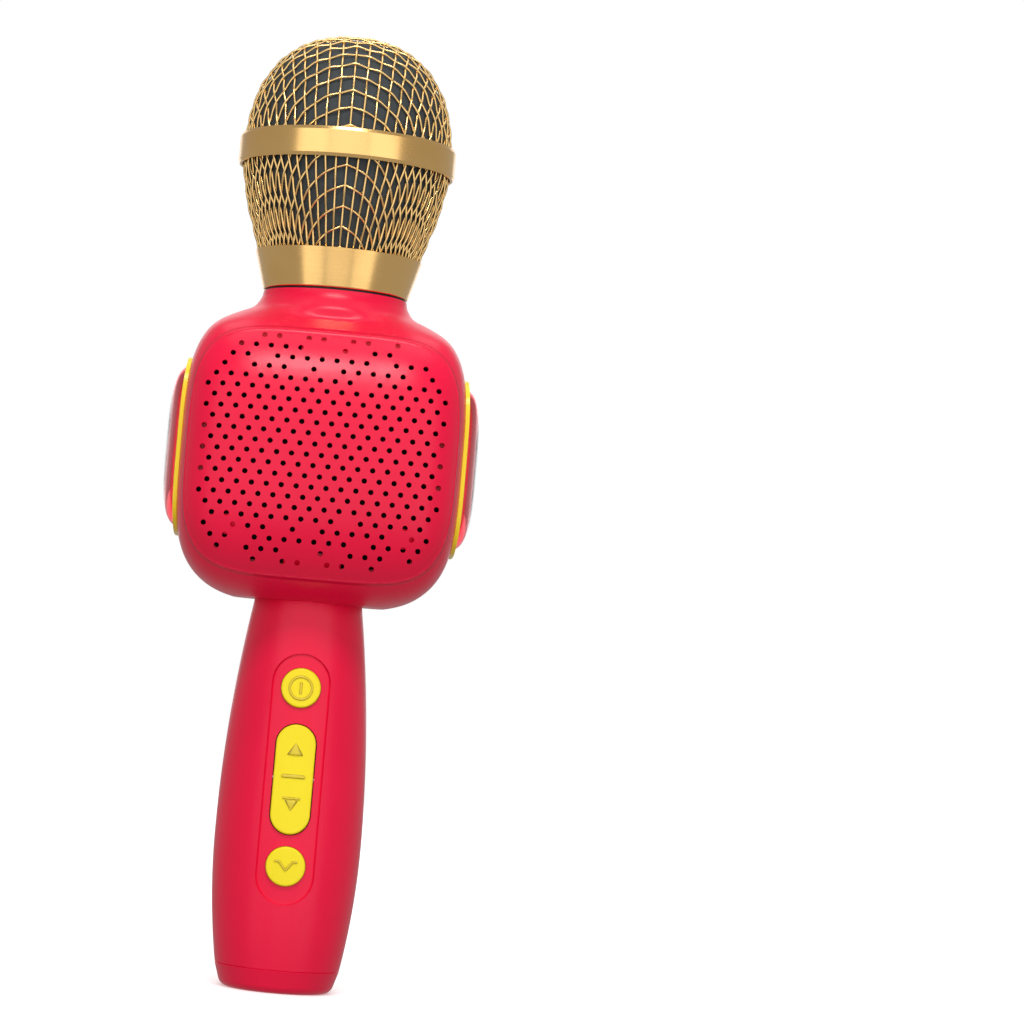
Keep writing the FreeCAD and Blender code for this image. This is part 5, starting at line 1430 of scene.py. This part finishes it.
@dataclass
class Studio:
    """Pale floor, pale surroundings and soft lights."""

    middle: float = 0.119
    floor_half: float = 1.35
    floor_points: int = 9
    backdrop_glow: float = 1.0
    fill_glow: float = 0.40
    lights: tuple[Softbox, ...] = (
        Softbox("front_softbox", 0.0, 0.25, 1.50, 1.05, 1.70, 0.85),
        Softbox("left_softbox", -38.0, 0.25, 1.50, 0.92, 1.70, 0.95),
        Softbox("right_softbox", 38.0, 0.25, 1.50, 0.92, 1.70, 0.95),
        Softbox("crown_softbox", 0.0, 1.15, 0.85, 0.50, 0.30, 16.0),
        Softbox("top_softbox", 180.0, 1.60, 0.25, 1.60, 1.40, 1.35),
        Softbox("rear_softbox", 180.0, 0.60, 1.70, 1.60, 1.10, 0.80),
    )

    def floor(self) -> None:
        """A level floor that the microphone stands on."""
        side = np.linspace(-self.floor_half, self.floor_half, self.floor_points) / MM
        x, y = np.meshgrid(side, side, indexing="ij")
        points = np.stack([x, y, np.zeros_like(x)], axis=-1).reshape(-1, 3)
        faces = grid_faces(self.floor_points, self.floor_points, False)[:, ::-1]
        shell = Shell(points, list(faces), np.zeros(len(points)))
        floor = shell.piece("studio_floor", Finish.LAMP)
        recipe = Recipe("pale_floor")
        clouds = recipe.noise(3.0, 2.0)
        colour = recipe.mix(clouds, (0.93, 0.93, 0.93), (0.90, 0.90, 0.90))
        pale = recipe.surface(
            Base_Color=colour, Roughness=0.9, Specular_IOR_Level=0.1, Emission_Color=(1, 1, 1, 1),
            Emission_Strength=0.35,
        )  # fmt: skip
        floor.data.materials[0] = pale
        floor.visible_glossy = False
        floor.visible_diffuse = False

    def surroundings(self) -> None:
        """A pale world: it shows as plain white and gives a dimmer even fill."""
        world = bpy.data.worlds.new("pale_surroundings")
        bpy.context.scene.world = world
        world.use_nodes = True
        tree = world.node_tree
        tree.nodes.clear()
        path = tree.nodes.new("ShaderNodeLightPath")
        mixed = tree.nodes.new("ShaderNodeMix")
        mixed.data_type = "FLOAT"
        mixed.inputs[2].default_value = self.fill_glow
        mixed.inputs[3].default_value = self.backdrop_glow
        tree.links.new(path.outputs["Is Camera Ray"], mixed.inputs[0])
        glow = tree.nodes.new("ShaderNodeBackground")
        glow.inputs["Color"].default_value = (1, 1, 1, 1)
        tree.links.new(mixed.outputs[0], glow.inputs["Strength"])
        out = tree.nodes.new("ShaderNodeOutputWorld")
        tree.links.new(glow.outputs[0], out.inputs["Surface"])

    def build(self) -> None:
        """Lay the floor and hang the lights."""
        self.floor()
        self.surroundings()
        for light in self.lights:
            light.build(Vector((0.0, 0.0, self.middle)))
        bpy.context.scene.view_settings.view_transform = "Standard"


@dataclass
class PortraitCamera:
    """Camera a little below the microphone's middle, rolled so that its top leans right."""

    middle: float = 0.119
    distance: float = 0.86
    elevation: float = -2.8
    lean: float = 5.0
    lens: float = 121.0
    shift_x: float = 0.191
    sensor: float = 36.0
    clip: tuple[float, float] = (0.05, 50.0)

    def build(self) -> None:
        """Make the scene's camera."""
        camera = bpy.data.cameras.new("portrait_camera")
        camera.lens = self.lens
        camera.sensor_width = self.sensor
        camera.shift_x = self.shift_x
        camera.clip_start, camera.clip_end = self.clip
        holder = bpy.data.objects.new("portrait_camera", camera)
        bpy.context.scene.collection.objects.link(holder)
        up, lean = math.radians(self.elevation), math.radians(self.lean)
        back = Vector((0.0, -math.cos(up), math.sin(up)))
        level = Vector((1.0, 0.0, 0.0))
        above = back.cross(level)
        right = level * math.cos(lean) + above * math.sin(lean)
        top = above * math.cos(lean) - level * math.sin(lean)
        turn = Matrix((right, top, back)).transposed()
        place = Vector((0, 0, self.middle)) + back * self.distance
        holder.matrix_world = Matrix.Translation(place) @ turn.to_4x4()
        bpy.context.scene.camera = holder


# ---------------------------------------------------------------- making


def main() -> None:
    """Load the frame, dress it, add the pieces, the studio and the camera."""
    logging.basicConfig(level=logging.INFO, format="%(name)s: %(message)s")
    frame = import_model()
    PortraitCamera().build()
    Studio().build()
    dress_frame(frame["nodes"])
    lights = (SideLight(Side.RIGHT), SideLight(Side.LEFT))
    for maker in (WovenHead(), FoamLiner(), *lights, GrilleShadeSheet(True), GrilleShadeSheet(False), KeyMarks()):
        for piece in maker.build():
            LOG.info("%s: %d faces", piece.name, len(piece.data.polygons))


if __name__ == "__main__":
    main()
